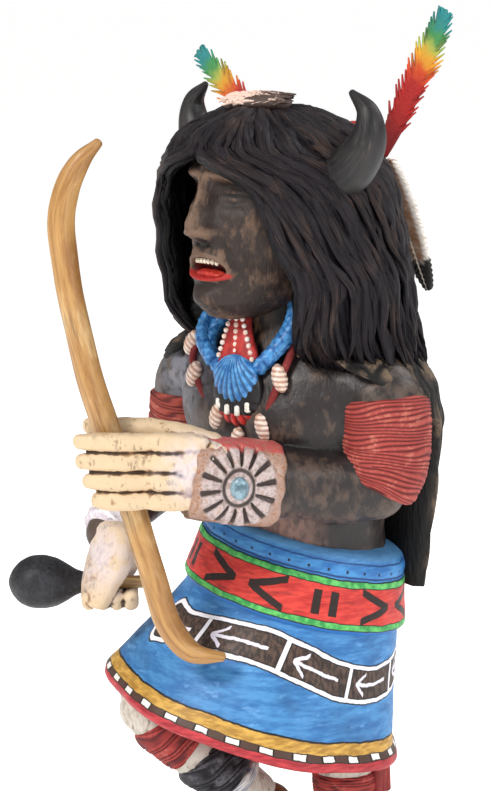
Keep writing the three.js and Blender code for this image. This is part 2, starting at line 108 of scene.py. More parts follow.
def turned(x, y, z, degrees):
    """A frame turned about the upright axis: it moves rows of (along, out, high, ...)."""
    c, s = math.cos(math.radians(degrees)), math.sin(math.radians(degrees))

    def place(rows):
        rows = np.array(rows, float)
        along, out = rows[..., 0].copy(), rows[..., 1].copy()
        rows[..., 0] = x + along * c - out * s
        rows[..., 1] = y + along * s + out * c
        rows[..., 2] += z
        return rows
    return place


head = turned(-2, -12, 0, HEAD_TURN)
left_grip = turned(-20, -80.8, 190, GRIP_TURN)
right_grip = turned(-52.5, -50, 129, GRIP_TURN)


def eased(stops, step, passes=4):
    """Rows about every step millimetres along the stops, with the corners between them rounded."""
    stops = np.asarray(stops, float)
    gaps = np.linalg.norm(np.diff(stops, axis=0), axis=1)
    lengths = np.concatenate([[0], np.cumsum(gaps)])
    at = np.linspace(0, lengths[-1], int(lengths[-1] / step) + 3)
    rows = np.stack([np.interp(at, lengths, stops[:, k]) for k in range(stops.shape[1])], axis=1)
    for _ in range(passes):
        rows[1:-1] = (rows[:-2] + 2 * rows[1:-1] + rows[2:]) / 4
    return rows


def curved(stops, steps):
    """Rows along a smooth curve through the stops, steps to each stretch."""
    p = np.asarray(stops, float)
    p = np.vstack([2 * p[0] - p[1], p, 2 * p[-1] - p[-2]])
    t = np.linspace(0, 1, steps, endpoint=False)[:, None]
    rows = []
    for i in range(len(p) - 3):
        a, b, c, d = p[i:i + 4]
        rows.append(0.5 * (2 * b + (c - a) * t + (2 * a - 5 * b + 4 * c - d) * t ** 2
                           + (3 * b - a - 3 * c + d) * t ** 3))
    return np.vstack(rows + [p[-2:-1]])


def unit_rows(v):
    return v / np.maximum(np.linalg.norm(v, axis=-1, keepdims=True), 1e-9)


def roundness(angle, power):
    """Half-way between a circle (power 2) and a square (a high power)."""
    return (np.abs(np.cos(angle)) ** power + np.abs(np.sin(angle)) ** power) ** (-1 / power)


def limb(rows, up=UP, power=2.0, sides=24, relief=None, cap=0.7):
    """Rings round rows of (x, y, z, half-width, half-height), with round ends."""
    rows = np.asarray(rows, float)
    if rows.shape[1] == 4:
        rows = np.column_stack([rows, rows[:, 3]])
    tangent = unit_rows(np.gradient(rows[:, :3], axis=0))
    across = unit_rows(np.cross(up, tangent))
    rise = np.cross(tangent, across)
    angle = np.linspace(0, 2 * np.pi, sides, endpoint=False)
    r = np.broadcast_to(roundness(angle, power), (len(rows), sides))
    if relief is not None:
        r = r * (1 + relief(np.arange(len(rows))[:, None] / (len(rows) - 1), angle[None, :]))
    rings = rows[:, None, :3] + (across[:, None] * (rows[:, None, 3] * np.cos(angle) * r)[..., None]
                                 + rise[:, None] * (rows[:, None, 4] * np.sin(angle) * r)[..., None])
    if cap <= 0:
        return rings
    ends = []
    for end, way in ((0, -1), (-1, 1)):
        reach = min(rows[end, 3], rows[end, 4]) * cap * way
        ends.append([rows[end, :3] + tangent[end] * reach * math.sin(turn)
                     + (rings[end] - rows[end, :3]) * math.cos(turn)
                     for turn in CAP_TURNS])
    return np.concatenate([np.array(ends[0])[::-1], rings, np.array(ends[1])])


def capped(values):
    """A value for each ring of a limb, carried on over the rings of its round ends."""
    values = np.asarray(values, float)
    first, last = [np.repeat(end, len(CAP_TURNS), 0) for end in (values[:1], values[-1:])]
    return np.concatenate([first, values, last])


def stack(rows, angle, lean=(0, 0), power=2.0, relief=None):
    """Level rings from rows of (z, half-width, half-depth, x, y), leaning with x and y."""
    rows = np.asarray(rows, float)
    r = roundness(angle, power) * np.ones((len(rows), 1))
    if relief is not None:
        r = r * (1 + relief(angle[None, :], rows[:, :1]))
    dx = rows[:, 1:2] * np.cos(angle) * r
    dy = rows[:, 2:3] * np.sin(angle) * r
    z = rows[:, 0:1] + lean[0] * dx + lean[1] * dy
    return np.stack([rows[:, 3:4] + dx, rows[:, 4:5] + dy, z], axis=-1)


def full_turn(sides):
    return np.linspace(0, 2 * np.pi, sides, endpoint=False)


def ball(centre, radii, sides=16, rows=10):
    """Rings of an egg shape, its poles up and down."""
    tilt = np.linspace(-np.pi / 2, np.pi / 2, rows + 2)[1:-1]
    angle = full_turn(sides)
    return np.asarray(centre, float) + np.stack([
        radii[0] * np.cos(tilt)[:, None] * np.cos(angle),
        radii[1] * np.cos(tilt)[:, None] * np.sin(angle),
        radii[2] * np.sin(tilt)[:, None] * np.ones(sides)], axis=-1)


class Form:
    """Points in millimetres, faces and painted values, gathered before they become one mesh."""

    def __init__(self):
        self.points, self.quads, self.triangles = [], [], []
        self.values, self.count = {}, 0

    def add(self, points, quads, triangles=None, **values):
        points = np.asarray(points, float).reshape(-1, 3)
        for name in set(self.values) | set(values):
            known = self.values.setdefault(name, [np.zeros(self.count)])
            known.append(np.zeros(len(points)) + values.get(name, 0.0))
        self.points.append(points)
        self.quads.append(np.asarray(quads, np.int64) + self.count)
        if triangles is not None:
            self.triangles.append(np.asarray(triangles, np.int64) + self.count)
        self.count += len(points)
        return self

    def tube(self, rings, **values):
        """A closed skin over rings, with a fan over each end; values are per ring or point."""
        rows, sides = rings.shape[:2]
        i, j = np.arange(rows - 1)[:, None], np.arange(sides)[None, :]
        k = (j + 1) % sides
        corners = [i * sides + j, i * sides + k, (i + 1) * sides + k, (i + 1) * sides + j]
        quads = np.stack(np.broadcast_arrays(*corners), -1).reshape(-1, 4)
        j, k = j[0], k[0]
        last = (rows - 1) * sides
        fans = np.concatenate([np.stack([np.full(sides, rows * sides), k, j], -1),
                               np.stack([np.full(sides, rows * sides + 1), last + j, last + k], -1)])
        painted = {}
        for name, value in values.items():
            value = np.asarray(value, float)
            if value.ndim == 1:
                value = value[:, None]
            whole = np.broadcast_to(value, (rows, sides))
            painted[name] = np.concatenate([whole.ravel(), [whole[0].mean(), whole[-1].mean()]])
        hubs = [rings[0].mean(0), rings[-1].mean(0)]
        return self.add(np.concatenate([rings.reshape(-1, 3), hubs]), quads, fans, **painted)


def mesh_of(form, name):
    mesh = bpy.data.meshes.new(name)
    points = np.concatenate(form.points)
    faces = [f for group in form.quads + form.triangles for f in group.tolist()]
    mesh.from_pydata(points.tolist(), [], faces)
    for key, parts in form.values.items():
        data = mesh.attributes.new(key, "FLOAT", "POINT")
        data.data.foreach_set("value", np.concatenate(parts).astype(np.float32))
    return mesh


def around_sum(points, quads):
    """The mean of each point's neighbours."""
    start = quads.ravel()
    end = np.roll(quads, -1, axis=1).ravel()
    count = np.maximum(np.bincount(start, minlength=len(points)), 1)
    return np.stack([np.bincount(start, weights=points[end, k], minlength=len(points)) / count
                     for k in range(points.shape[1])], axis=1)


def relaxed(points, quads, passes):
    for _ in range(passes):
        points = 0.5 * points + 0.5 * around_sum(points, quads)
    return points


def normals_of(points, quads):
    face = np.cross(points[quads[:, 2]] - points[quads[:, 0]], points[quads[:, 3]] - points[quads[:, 1]])
    total = np.stack([np.bincount(quads.ravel(), weights=np.repeat(face[:, k], 4),
                                  minlength=len(points)) for k in range(3)], axis=1)
    return unit_rows(total)


def fused(form, voxel, relax=3, reach=14, carve=None):
    """The form's overlapping shells as one skin, with how deep each point lies in a hollow."""
    obj = bpy.data.objects.new("fusing", mesh_of(form, "fusing"))
    bpy.context.collection.objects.link(obj)
    remesh = obj.modifiers.new("Fuse", "REMESH")
    remesh.mode = "VOXEL"
    remesh.voxel_size = voxel
    whole = obj.evaluated_get(bpy.context.evaluated_depsgraph_get())
    mesh = whole.to_mesh()
    points = np.empty(len(mesh.vertices) * 3)
    mesh.vertices.foreach_get("co", points)
    corners = np.empty(len(mesh.loops), np.int32)
    mesh.loops.foreach_get("vertex_index", corners)
    whole.to_mesh_clear()
    bpy.data.objects.remove(obj)
    points = points.reshape(-1, 3)
    quads = corners.reshape(-1, 4)
    points = relaxed(points, quads, relax)
    if carve is not None:
        points = points + normals_of(points, quads) * carve(points)[:, None]
    deep = ((relaxed(points, quads, reach) - points) * normals_of(points, quads)).sum(1)
    return Form().add(points, quads, hollow=deep / np.percentile(np.abs(deep), 95))


def finish_piece(name, form, material, replaces=()):
    """The form as an object that rides on the one body, its normals outward."""
    mesh = mesh_of(form, name)
    work = bmesh.new()
    work.from_mesh(mesh)
    bmesh.ops.recalc_face_normals(work, faces=work.faces)
    for vertex in work.verts:
        vertex.co.z = (vertex.co.z + LIFT) / 1000
        vertex.co.x /= 1000
        vertex.co.y /= 1000
    work.to_mesh(mesh)
    work.free()
    mesh.shade_smooth()
    mesh.materials.append(material)
    obj = bpy.data.objects.new(name, mesh)
    bpy.context.collection.objects.link(obj)
    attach(obj, "root")
    if replaces:
        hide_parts(*replaces)
    return obj


# Paint: one class for shader maths and one for a material's marks

class Field:
    """A socket that is added, scaled and compared like a number."""

    def __init__(self, paint, socket):
        self.paint, self.socket = paint, socket

    def maths(self, operation, other=None, first=None, third=None):
        node = self.paint.node("ShaderNodeMath", {"operation": operation})
        values = [self, other, third] if first is None else [first, self, third]
        for socket, value in zip(node.inputs, values):
            if value is not None:
                self.paint.plug(socket, value)
        return Field(self.paint, node.outputs[0])

    def __add__(self, other):
        return self.maths("ADD", other)

    def __radd__(self, other):
        return self.maths("ADD", other)

    def __sub__(self, other):
        return self.maths("SUBTRACT", other)

    def __rsub__(self, other):
        return self.maths("SUBTRACT", first=other)

    def __mul__(self, other):
        return self.maths("MULTIPLY", other)

    def __rmul__(self, other):
        return self.maths("MULTIPLY", other)

    def __truediv__(self, other):
        return self.maths("DIVIDE", other)

    def __mod__(self, other):
        return self.maths("FLOORED_MODULO", other)

    def __abs__(self):
        return self.maths("ABSOLUTE")

    def __pow__(self, other):
        return self.maths("POWER", other)

    def over(self, edge, soft=0.12):
        """1 where the value is over the edge, 0 under it."""
        node = self.paint.node("ShaderNodeMapRange", {"interpolation_type": "SMOOTHSTEP"})
        for socket, value in zip(node.inputs, (self, edge - soft, edge + soft, 0.0, 1.0)):
            self.paint.plug(socket, value)
        return Field(self.paint, node.outputs[0])

    def between(self, low, high, soft=0.12):
        return self.over(low, soft) * (1 - self.over(high, soft))


def colour(text):
    """A screen colour such as '8a3b2c' as Blender's linear one."""
    parts = [int(text[i:i + 2], 16) / 255 for i in (0, 2, 4)]
    return [p / 12.92 if p <= 0.04045 else ((p + 0.055) / 1.055) ** 2.4 for p in parts] + [1.0]


class Paint:
    """One material, with the marks that a carver's brush and wear leave on it, and painted shade and
    highlights.
    """

    def __init__(self, name, roughness=0.55, coat=0.0, shine=0.35):
        self.material = bpy.data.materials.new(name)
        self.material.use_nodes = True
        self.tree = self.material.node_tree
        self.tree.nodes.clear()
        self.shader = self.node("ShaderNodeBsdfPrincipled")
        self.plug(self.shader.inputs["Roughness"], roughness)
        self.plug(self.shader.inputs["Coat Weight"], coat)
        self.plug(self.shader.inputs["Coat Roughness"], 0.3)
        self.plug(self.shader.inputs["Specular IOR Level"], shine)
        output = self.node("ShaderNodeOutputMaterial")
        self.tree.links.new(self.shader.outputs[0], output.inputs["Surface"])
        spots = self.node("ShaderNodeTexCoord")
        self.place = self.vector("SCALE", spots.outputs["Object"], scale=1000.0)

    def node(self, kind, settings=None, sockets=None):
        made = self.tree.nodes.new(kind)
        for key, value in (settings or {}).items():
            setattr(made, key, value)
        for key, value in (sockets or {}).items():
            self.plug(made.inputs[key], value)
        return made

    def plug(self, socket, value):
        if isinstance(value, Field):
            value = value.socket
        if isinstance(value, bpy.types.NodeSocket):
            self.tree.links.new(value, socket)
        else:
            socket.default_value = value

    def vector(self, operation, first, second=None, scale=None):
        node = self.node("ShaderNodeVectorMath", {"operation": operation})
        self.plug(node.inputs[0], first)
        if second is not None:
            self.plug(node.inputs[1], second)
        if scale is not None:
            self.plug(node.inputs["Scale"], scale)
        return node.outputs["Value"] if operation == "DISTANCE" else node.outputs["Vector"]

    def value(self, name):
        """A value painted on the mesh."""
        return Field(self, self.node("ShaderNodeAttribute", {"attribute_name": name}).outputs["Fac"])

    def turn(self):
        """Degrees round the doll, from the mesh's east and north values."""
        return self.value("north").maths("ARCTAN2", self.value("east")) * (180 / math.pi)

    def noise(self, size, detail=2.0, stretch=(1, 1, 1), vector=None, rough=0.55):
        """Values near 0.5 that change over about size millimetres."""
        place = self.vector("MULTIPLY", vector or self.place, [s / size for s in stretch])
        node = self.node("ShaderNodeTexNoise", None,
                         {"Vector": place, "Scale": 1.0, "Detail": detail, "Roughness": rough})
        return Field(self, node.outputs[0])

    def joined(self, x, y, z=0.0):
        node = self.node("ShaderNodeCombineXYZ", None, {0: x, 1: y, 2: z})
        return node.outputs[0]

    def near(self, point, radius):
        """1 at a point of the grid, fading to 0 at the radius."""
        spot = (point[0], point[1], point[2] + LIFT)
        return 1 - Field(self, self.vector("DISTANCE", self.place, spot)).over(radius * 0.6, radius * 0.4)

    def mix(self, first, second, share):
        node = self.node("ShaderNodeMix", {"data_type": "RGBA"})
        node.clamp_factor = True
        self.plug(node.inputs[0], share)
        self.plug(node.inputs[6], colour(first) if isinstance(first, str) else first)
        self.plug(node.inputs[7], colour(second) if isinstance(second, str) else second)
        return node.outputs[2]

    def bump(self, height, depth):
        """Height from 0 to 1 stands for depth millimetres."""
        node = self.node("ShaderNodeBump", None, {"Height": height, "Distance": depth / 1000})
        self.plug(self.shader.inputs["Normal"], node.outputs[0])
        return self

    def done(self, shade, roughness=None):
        self.plug(self.shader.inputs["Base Color"], shade)
        if roughness is not None:
            self.plug(self.shader.inputs["Roughness"], roughness)
        return self.material


def worn_wood(name, coat, bare, grime_and_hollow_shade, wear=0.5, gain=1.2, roughness=0.55, extra=None, coat_weight=0.0):
    """Matt paint on carved wood: painted shade in the grooves and rubbed to bare wood on the ridges."""
    paint = Paint(name, roughness, coat_weight)
    broad = paint.noise(16, 3)
    fine = paint.noise(2.4, 4, (1, 1, 0.5))
    hairs = paint.noise(0.9, 2, (1, 1, 0.25))
    deep = paint.value("hollow") * gain
    chips = paint.noise(5, 5, (1, 1, 0.6), rough=0.7)
    rub = (broad * 0.6 + fine * 0.6 + chips * 0.55 + hairs * 0.25 - deep).over(1.55 - wear, 0.14)
    shade = paint.mix(coat, bare, rub * 0.8)
    # Painted shade: the dark colour is laid where the carved hollows are deep, where shade falls.
    shade = paint.mix(shade, grime_and_hollow_shade, (deep + fine * 0.35).over(0.42, 0.25) * 0.85)
    # Dark chips and scratches: real dirt and wear, in the same dark colour.
    shade = paint.mix(shade, grime_and_hollow_shade, (chips + hairs * 0.3).over(0.76, 0.05) * 0.5)
    if extra is not None:
        shade = extra(paint, shade, fine)
    paint.bump(fine * 0.7 + hairs * 0.5 + chips * 0.4, 0.42)
    return paint.done(shade, fine * 0.25 + (roughness - 0.12))


def body_extra(paint, shade, fine):
    belly = paint.near((16, -32, 158), 26).maths("MULTIPLY", fine.over(0.42, 0.2))
    shade = paint.mix(shade, "9a7467", belly * 0.75)
    # Painted sheen: a pale bluish-grey patch on the far shoulder, where light from the side falls.
    far = paint.near((-38, -22, 212), 34) * paint.noise(5, 3).over(0.45, 0.12)
    shade = paint.mix(shade, "7d7c86", far * 0.75)
    neck = paint.near((-4, -24, 232), 16) * fine.over(0.5, 0.1)
    return paint.mix(shade, "8b6a4d", neck * 0.6)


def skin_paint():
    return worn_wood("dark_body_paint", "262020", "55453b", "0d0a0a", 0.34, 0.42, 0.46, body_extra, 0.08)


def hand_extra(paint, shade, fine):
    # Painted highlights: pale lilac patches on the near knuckles and on the far hand.
    knuckle_highlight = paint.near(left_grip([[-30, 6, -3]])[0], 19) * paint.noise(5, 3).over(0.42, 0.14)
    far = paint.near(right_grip([[0, 0, 10]])[0], 22) * paint.noise(5, 3).over(0.4, 0.14)
    shade = paint.mix(shade, "d6cdd8", (knuckle_highlight + far) * 0.7)
    # Painted shade: dark brown laid in the hollows between the fingers.
    deep = paint.value("hollow") * 0.85
    return paint.mix(shade, "33200f", (deep + fine * 0.3).over(0.72, 0.28) * 0.9)


def hand_paint():
    return worn_wood("hand_wood", "96724e", "d8c09e", "3d2616", 0.6, 0.62, 0.5, hand_extra)


def face_extra(paint, shade, fine):
    shade = paint.mix(shade, "6a1410", paint.value("mouth").over(0.35, 0.2))
    lips = paint.value("lips").over(0.42, 0.2)
    shade = paint.mix(shade, "a3221f", lips * (fine * 0.5 + 0.7))
    eyes = paint.value("eye").over(0.5, 0.15)
    return paint.mix(shade, "14100f", eyes * 0.85)


def face_paint():
    return worn_wood("dark_face_paint", "2e231f", "735a49", "0d0908", 0.46, 0.5, 0.56, face_extra, 0.0)


def hair_paint():
    """Painted hair: near-black locks with fine strands and brown rubs along their backs, painted shade in the
    grooves between locks and a painted highlight along their crests.
    """
    paint = Paint("painted_hair", 0.38, 0.0, 0.16)
    along, around, tone = paint.value("along"), paint.value("around"), paint.value("tone")
    strands = paint.noise(1.0, 3, (1, 0.9, 1), paint.joined(around * 3.4, along * 0.09, tone * 40))
    broad = paint.noise(13, 2)
    ridge = paint.value("crest")
    rub = (strands * 0.8 + broad * 0.7 + ridge * 0.3 + tone * 0.2).over(1.3, 0.12)
    shade = paint.mix("08060a", "17121a", strands.over(0.5, 0.2))
    shade = paint.mix(shade, "5a4334", rub * 0.65)
    # Painted shade: near black where the crest value is low, in the grooves and under each lock.
    shade = paint.mix(shade, "020202", (1 - ridge).over(0.5, 0.25) * 0.95)
    # Painted highlight: a pale grey along the crest of each lock.
    shade = paint.mix(shade, "2f2a2d", (ridge + strands * 0.4).over(1.04, 0.12) * 0.5)
    paint.bump(strands, 1.0)
    return paint.done(shade, strands * 0.3 + 0.26)


def mantle_paint():
    paint = Paint("hide_mantle", 0.7)
    deep = paint.value("groove")
    fibres = paint.noise(1.6, 4, (1, 1, 0.16))
    broad = paint.noise(12, 3)
    # Fibre colour, and darker in the grooves as painted shade.
    shade = paint.mix("2b2420", "6c5a48", (fibres + broad * 0.6 - deep * 0.5).over(0.68, 0.2))
    # Painted shade: near black in the grooves between the hide's ridges and on its underside.
    shade = paint.mix(shade, "0b0908", (deep + fibres * 0.4).over(0.66, 0.25))
    paint.bump(fibres, 1.1)
    return paint.done(shade)


def yarn_paint(name, lit, shaded, worn):
    """Wound yarn: a painted lit colour on its turns and painted shade between them, and dusty on top."""
    paint = Paint(name, 0.72)
    crest = paint.value("wrap")
    broad = paint.noise(8, 3)
    fine = paint.noise(1.4, 3)
    shade = paint.mix(shaded, lit, (crest * 0.8 + broad * 0.5).over(0.72, 0.4))
    shade = paint.mix(shade, worn, (broad * 0.8 + fine * 0.6 + crest * 0.2).over(0.98, 0.12) * 0.7)
    paint.bump(fine, 0.25)
    return paint.done(shade)


def brushed(paint, low, high, size=7):
    """A colour laid on with a brush, in level streaks."""
    streaks = paint.noise(size, 4, (0.5, 0.5, 2.4))
    fine = paint.noise(1.6, 3, (0.4, 0.4, 1.6))
    return paint.mix(low, high, (streaks * 0.75 + fine * 0.35).over(0.56, 0.16))


def kilt_paint():
    """Blue cloth with a painted panel band, and ochre, dashes and a red rim at the hem."""
    band_start, panels, panel_turn = -122.3, 10, 32.7
    turn_length = 0.87
    first_rail = 4.0
    paint = Paint("painted_kilt", 0.58, 0.05)
    wobble = (paint.noise(10) - 0.5) * 1.6 + (paint.noise(2.2) - 0.5) * 0.5
    turn = paint.turn()
    stretch = (((turn + 105.0) / 44.0) ** 2.0 * -1.0).maths("EXPONENT") * 14.0
    rise = paint.value("rise") + wobble
    shade = brushed(paint, "2a659f", "4a8ac0")
    shade = paint.mix(shade, "244d7c", paint.noise(22, 3).over(0.6, 0.12) * 0.6)
    shade = paint.mix(shade, "6fa6d8", (paint.noise(5, 4, (0.6, 0.6, 1.5))).over(0.64, 0.05) * 0.5)
    centre = (turn * (3 * math.pi / 180) - math.radians(69)).maths("SINE") * 3.5 + 36
    off = rise - centre
    past = ((turn + stretch - band_start) % 360.0) * turn_length
    length = panels * panel_turn * turn_length
    corner = 11.0
    ends = (corner - past).maths("MAXIMUM", past - (length - corner)).maths("MAXIMUM", 0.0)
    swell = (1 - past.over(15, 9)) * 0.4 + 1
    inked = (off * off + ends * ends).maths("SQRT") / swell
    shade = paint.mix(shade, "141217", 1 - inked.over(7.35))
    shade = paint.mix(shade, "ece9ee", 1 - inked.over(6.85))
    shade = paint.mix(shade, "141217", 1 - inked.over(5.45))
    grain = paint.noise(1.3, 4, (1, 1, 0.35))
    panel = paint.mix("2c211d", "564238", grain.over(0.52, 0.12))
    shade = paint.mix(shade, panel, 1 - inked.over(5.0))
    inside = 1 - inked.over(5.4)
    step = (past - first_rail) % (panel_turn * turn_length)
    rail = abs(step - 1.1)
    shade = paint.mix(shade, "141217", (1 - rail.over(1.35)) * inside * past.over(9.0))
    shade = paint.mix(shade, "ece9ee", (1 - rail.over(0.85)) * inside * past.over(9.0))
    drawn = (paint.noise(3.5) - 0.5) * 1.4
    shaft = (1 - abs(off + drawn).over(0.62)) * step.between(5.6, 24.0)
    head_lines = (1 - abs(abs(off + drawn) - (step - 5.0) * 0.75).over(0.72)) * step.between(4.8, 10.0)
    arrow = shaft.maths("MAXIMUM", head_lines) * inside
    shade = paint.mix(shade, "ddd7e4", arrow)
    shade = paint.mix(shade, "161316", 1 - rise.over(12.1))
    ochre = paint.mix("a0762f", "cca04b", paint.noise(3, 4, (0.5, 0.5, 2)).over(0.52, 0.14))
    shade = paint.mix(shade, ochre, 1 - rise.over(11.4))
    shade = paint.mix(shade, "1b1513", 1 - rise.over(7.4))
    dash = (turn * 1.02 + wobble * 1.5) % 13.0
    shade = paint.mix(shade, "4a342a", rise.between(4.9, 7.2) * dash.over(6.6))
    shade = paint.mix(shade, "e8e2dc", rise.between(5.1, 7.0) * dash.between(0.9, 5.9))
    red = brushed(paint, "8e1f28", "bd3b40", 4)
    shade = paint.mix(shade, red, 1 - rise.over(4.6))
    paint.bump(paint.noise(1.8, 4, (0.6, 0.6, 1.6)) + inked.between(4.8, 7.3, 0.3) * 0.5, 0.28)
    return paint.done(shade, paint.noise(4) * 0.3 + 0.42)


def sash_paint():
    """A red sash with glyphs between green edges, under the blue roll of the waist, with a painted highlight
    along the roll's top.
    """
    paint = Paint("painted_sash", 0.55, 0.05)
    wobble = (paint.noise(9) - 0.5) * 1.3 + (paint.noise(2) - 0.5) * 0.4
    rise = paint.value("rise") + wobble
    spot = (paint.turn() + 86.5) % 90.0
    side = abs(spot - 45.0) * 0.717
    shade = brushed(paint, "235f9f", "4489c2", 6)
    # Painted highlight: a pale blue along the top of the blue roll.
    shade = paint.mix(shade, "7fb4d8", rise.over(17.5, 1.5) * 0.35)
    stitch = (paint.turn() + wobble) % 11.0
    shade = paint.mix(shade, "14161c", rise.between(12.4, 13.5) * stitch.between(0.6, 2.0))
    shade = paint.mix(shade, "1d3f74", rise.between(10.4, 11.2) + rise.between(16.0, 16.6))
    shade = paint.mix(shade, "161316", 1 - rise.over(9.9))
    green = paint.mix("2f8a45", "62bb62", paint.noise(3, 3).over(0.5, 0.15))
    shade = paint.mix(shade, green, 1 - rise.over(9.4))
    shade = paint.mix(shade, "161316", 1 - rise.over(7.3))
    red = brushed(paint, "ad2523", "d34338", 5)
    red = paint.mix(red, "7d1f1c", paint.noise(4, 4, (0.4, 0.4, 2)).over(0.62, 0.08) * 0.7)
    shade = paint.mix(shade, red, 1 - rise.over(6.9))
    shade = paint.mix(shade, "161316", 1 - rise.over(-6.9))
    shade = paint.mix(shade, green, 1 - rise.over(-7.3))
    shade = paint.mix(shade, "161316", 1 - rise.over(-9.4))
    shade = paint.mix(shade, "2a6aae", 1 - rise.over(-9.9))
    bars = (1 - abs(side - 3.3).over(1.55)) * (1 - abs(rise).over(4.9))
    arms = (1 - abs(abs(rise) - (28.7 - side) * 0.42).over(1.5)) * side.between(15.0, 29.4)
    glyph = bars.maths("MAXIMUM", arms)
    shade = paint.mix(shade, "241713", glyph)
    paint.bump(paint.noise(1.8, 4, (0.6, 0.6, 1.6)) - glyph * 0.8, 0.3)
    return paint.done(shade, paint.noise(4) * 0.3 + 0.4)


def bow_paint():
    paint = Paint("bow_wood", 0.42, 0.2)
    along, around = paint.value("along"), paint.value("around")
    streaks = paint.noise(1.0, 4, (1, 1, 1), paint.joined(around * 1.3, along * 0.035, 0.0))
    fine = paint.noise(1.0, 3, (1, 1, 1), paint.joined(around * 6, along * 0.12, 3.0))
    blot = paint.noise(26, 3)
    shade = paint.mix("b58a52", "8f6233", (streaks * 0.8 + fine * 0.3).over(0.56, 0.14))
    shade = paint.mix(shade, "d9bb8a", (fine * 0.5 + blot * 0.7).over(0.66, 0.1) * 0.6)
    shade = paint.mix(shade, "4a2e17", (streaks * 0.6 + blot * 0.7).over(0.76, 0.08) * 0.75)
    shade = paint.mix(shade, "8f6335", (1 - along.over(9, 8)) * 0.45)
    paint.bump(fine, 0.2)
    return paint.done(shade, fine * 0.3 + 0.3)


def gourd_paint():
    paint = Paint("charcoal_gourd", 0.5, 0.03)
    fine = paint.noise(1.6, 4)
    shade = paint.mix("161619", "2e2e34", (fine * 0.7 + paint.noise(8, 3) * 0.5).over(0.62, 0.14))
    paint.bump(fine, 0.5)
    return paint.done(shade, fine * 0.3 + 0.38)


def horn_paint():
    paint = Paint("horn_paint", 0.45, 0.05)
    along, around = paint.value("along"), paint.value("around")
    lines = paint.noise(1.0, 4, (1, 1, 1), paint.joined(around * 2.2, along * 0.1, 1.0))
    shade = paint.mix("131113", "2c2828", (lines * 0.8 + paint.noise(9, 3) * 0.5).over(0.66, 0.16))
    shade = paint.mix(shade, "5a4d44", lines.over(0.66, 0.06) * 0.55)
    paint.bump(lines, 0.4)
    return paint.done(shade, lines * 0.3 + 0.34)


def dyed_feather_paint():
    """Red at the root, through orange, yellow and green to a teal tip."""
    paint = Paint("dyed_feather", 0.6)
    share = paint.value("share") + (paint.noise(4, 2) - 0.5) * 0.14
    tone = paint.value("tone")
    shade = paint.mix("741418", "ab2320", share.over(0.22, 0.14))
    shade = paint.mix(shade, "cc4a20", share.over(0.54, 0.06))
    shade = paint.mix(shade, "d99a2c", share.over(0.63, 0.05))
    shade = paint.mix(shade, "a9b04a", share.over(0.72, 0.05))
    shade = paint.mix(shade, "3d8a4c", share.over(0.78, 0.05))
    shade = paint.mix(shade, "1f7f80", share.over(0.88, 0.05))
    shade = paint.mix(shade, "3a1512", tone * 0.5)
    paint.bump(paint.noise(0.9, 3), 0.2)
    return paint.done(shade)


def eagle_feather_paint():
    paint = Paint("eagle_feather", 0.6)
    share, side = paint.value("share"), paint.value("side")
    barbs = paint.noise(1.0, 3, (1, 1, 1), paint.joined(side * 1.2, share * 60 - abs(side) * 9, 0.0))
    fine = paint.noise(3, 3)
    shade = paint.mix("efe9e2", "c9b8a6", barbs.over(0.55, 0.12))
    brown = (1 - abs(side).over(0.66, 0.16)) * (1 - share.over(0.78, 0.05))
    shade = paint.mix(shade, "8a5f3f", (brown * (fine * 0.6 + 0.6)))
    shade = paint.mix(shade, "1b1716", (share + (fine - 0.5) * 0.12).over(0.76, 0.03))
    shade = paint.mix(shade, "e9dccb", 1 - abs(side).over(0.07, 0.03))
    paint.bump(barbs, 0.4)
    return paint.done(shade)


def strokes_paint(name, first, second, dark, roughness=0.6):
    """Short brush-like strokes of two colours, told apart by the mesh's tone value."""
    paint = Paint(name, roughness)
    tone = paint.value("tone")
    fine = paint.noise(1.2, 3)
    shade = paint.mix(first, second, (tone + (fine - 0.5) * 0.5).over(0.5, 0.15))
    shade = paint.mix(shade, dark, fine.over(0.64, 0.06) * 0.55)
    paint.bump(fine, 0.25)
    return paint.done(shade)


def plain_paint(name, low, high, dark, size=3.0, roughness=0.5, coat=0.1, depth=0.25):
    paint = Paint(name, roughness, coat)
    fine = paint.noise(size, 4)
    shade = paint.mix(low, high, fine.over(0.5, 0.14))
    shade = paint.mix(shade, dark, paint.noise(size * 0.6, 3).over(0.66, 0.06) * 0.6)
    # Painted shade: the dark colour laid in the grooves between carved flutes, where the mesh has a flute
    # value.
    shade = paint.mix(shade, dark, paint.value("flute").over(0.55, 0.25) * 0.75)
    paint.bump(fine, depth)
    return paint.done(shade)


def cuff_paint():
    """A beaten silver-like plate with dark radial cuts, a tan ground and a red top edge."""
    paint = Paint("bow_guard", 0.42, 0.2)
    cut, reach, around = paint.value("cut"), paint.value("reach"), paint.value("around")
    fine = paint.noise(2.0, 4)
    shade = paint.mix("94817a", "c6b9ba", fine.over(0.5, 0.14))
    shade = paint.mix(shade, "95694a", (reach.over(14.2, 1.4) + fine.over(0.58, 0.06)) * 0.6)
    shade = paint.mix(shade, "2c1c15", cut.over(0.4, 0.3) * 0.95)
    shade = paint.mix(shade, "b65450", around.over(13.2, 1.0) * fine.over(0.38, 0.14))
    shade = paint.mix(shade, "6d5140", (1 - around.over(-15.5, 1.2)) * 0.8)
    paint.bump(fine, 0.3)
    return paint.done(shade, fine * 0.3 + 0.3)


def base_paint():
    paint = Paint("stained_base", 0.5, 0.15)
    grain = paint.noise(3.2, 5, (1, 0.07, 1))
    shade = paint.mix("6a4326", "94663c", grain.over(0.5, 0.16))
    shade = paint.mix(shade, "3c2413", paint.noise(1.1, 3, (1, 0.04, 1)).over(0.62, 0.06) * 0.6)
    paint.bump(grain, 0.3)
    return paint.done(shade, grain * 0.25 + 0.35)


# The camera, the lights and the floor

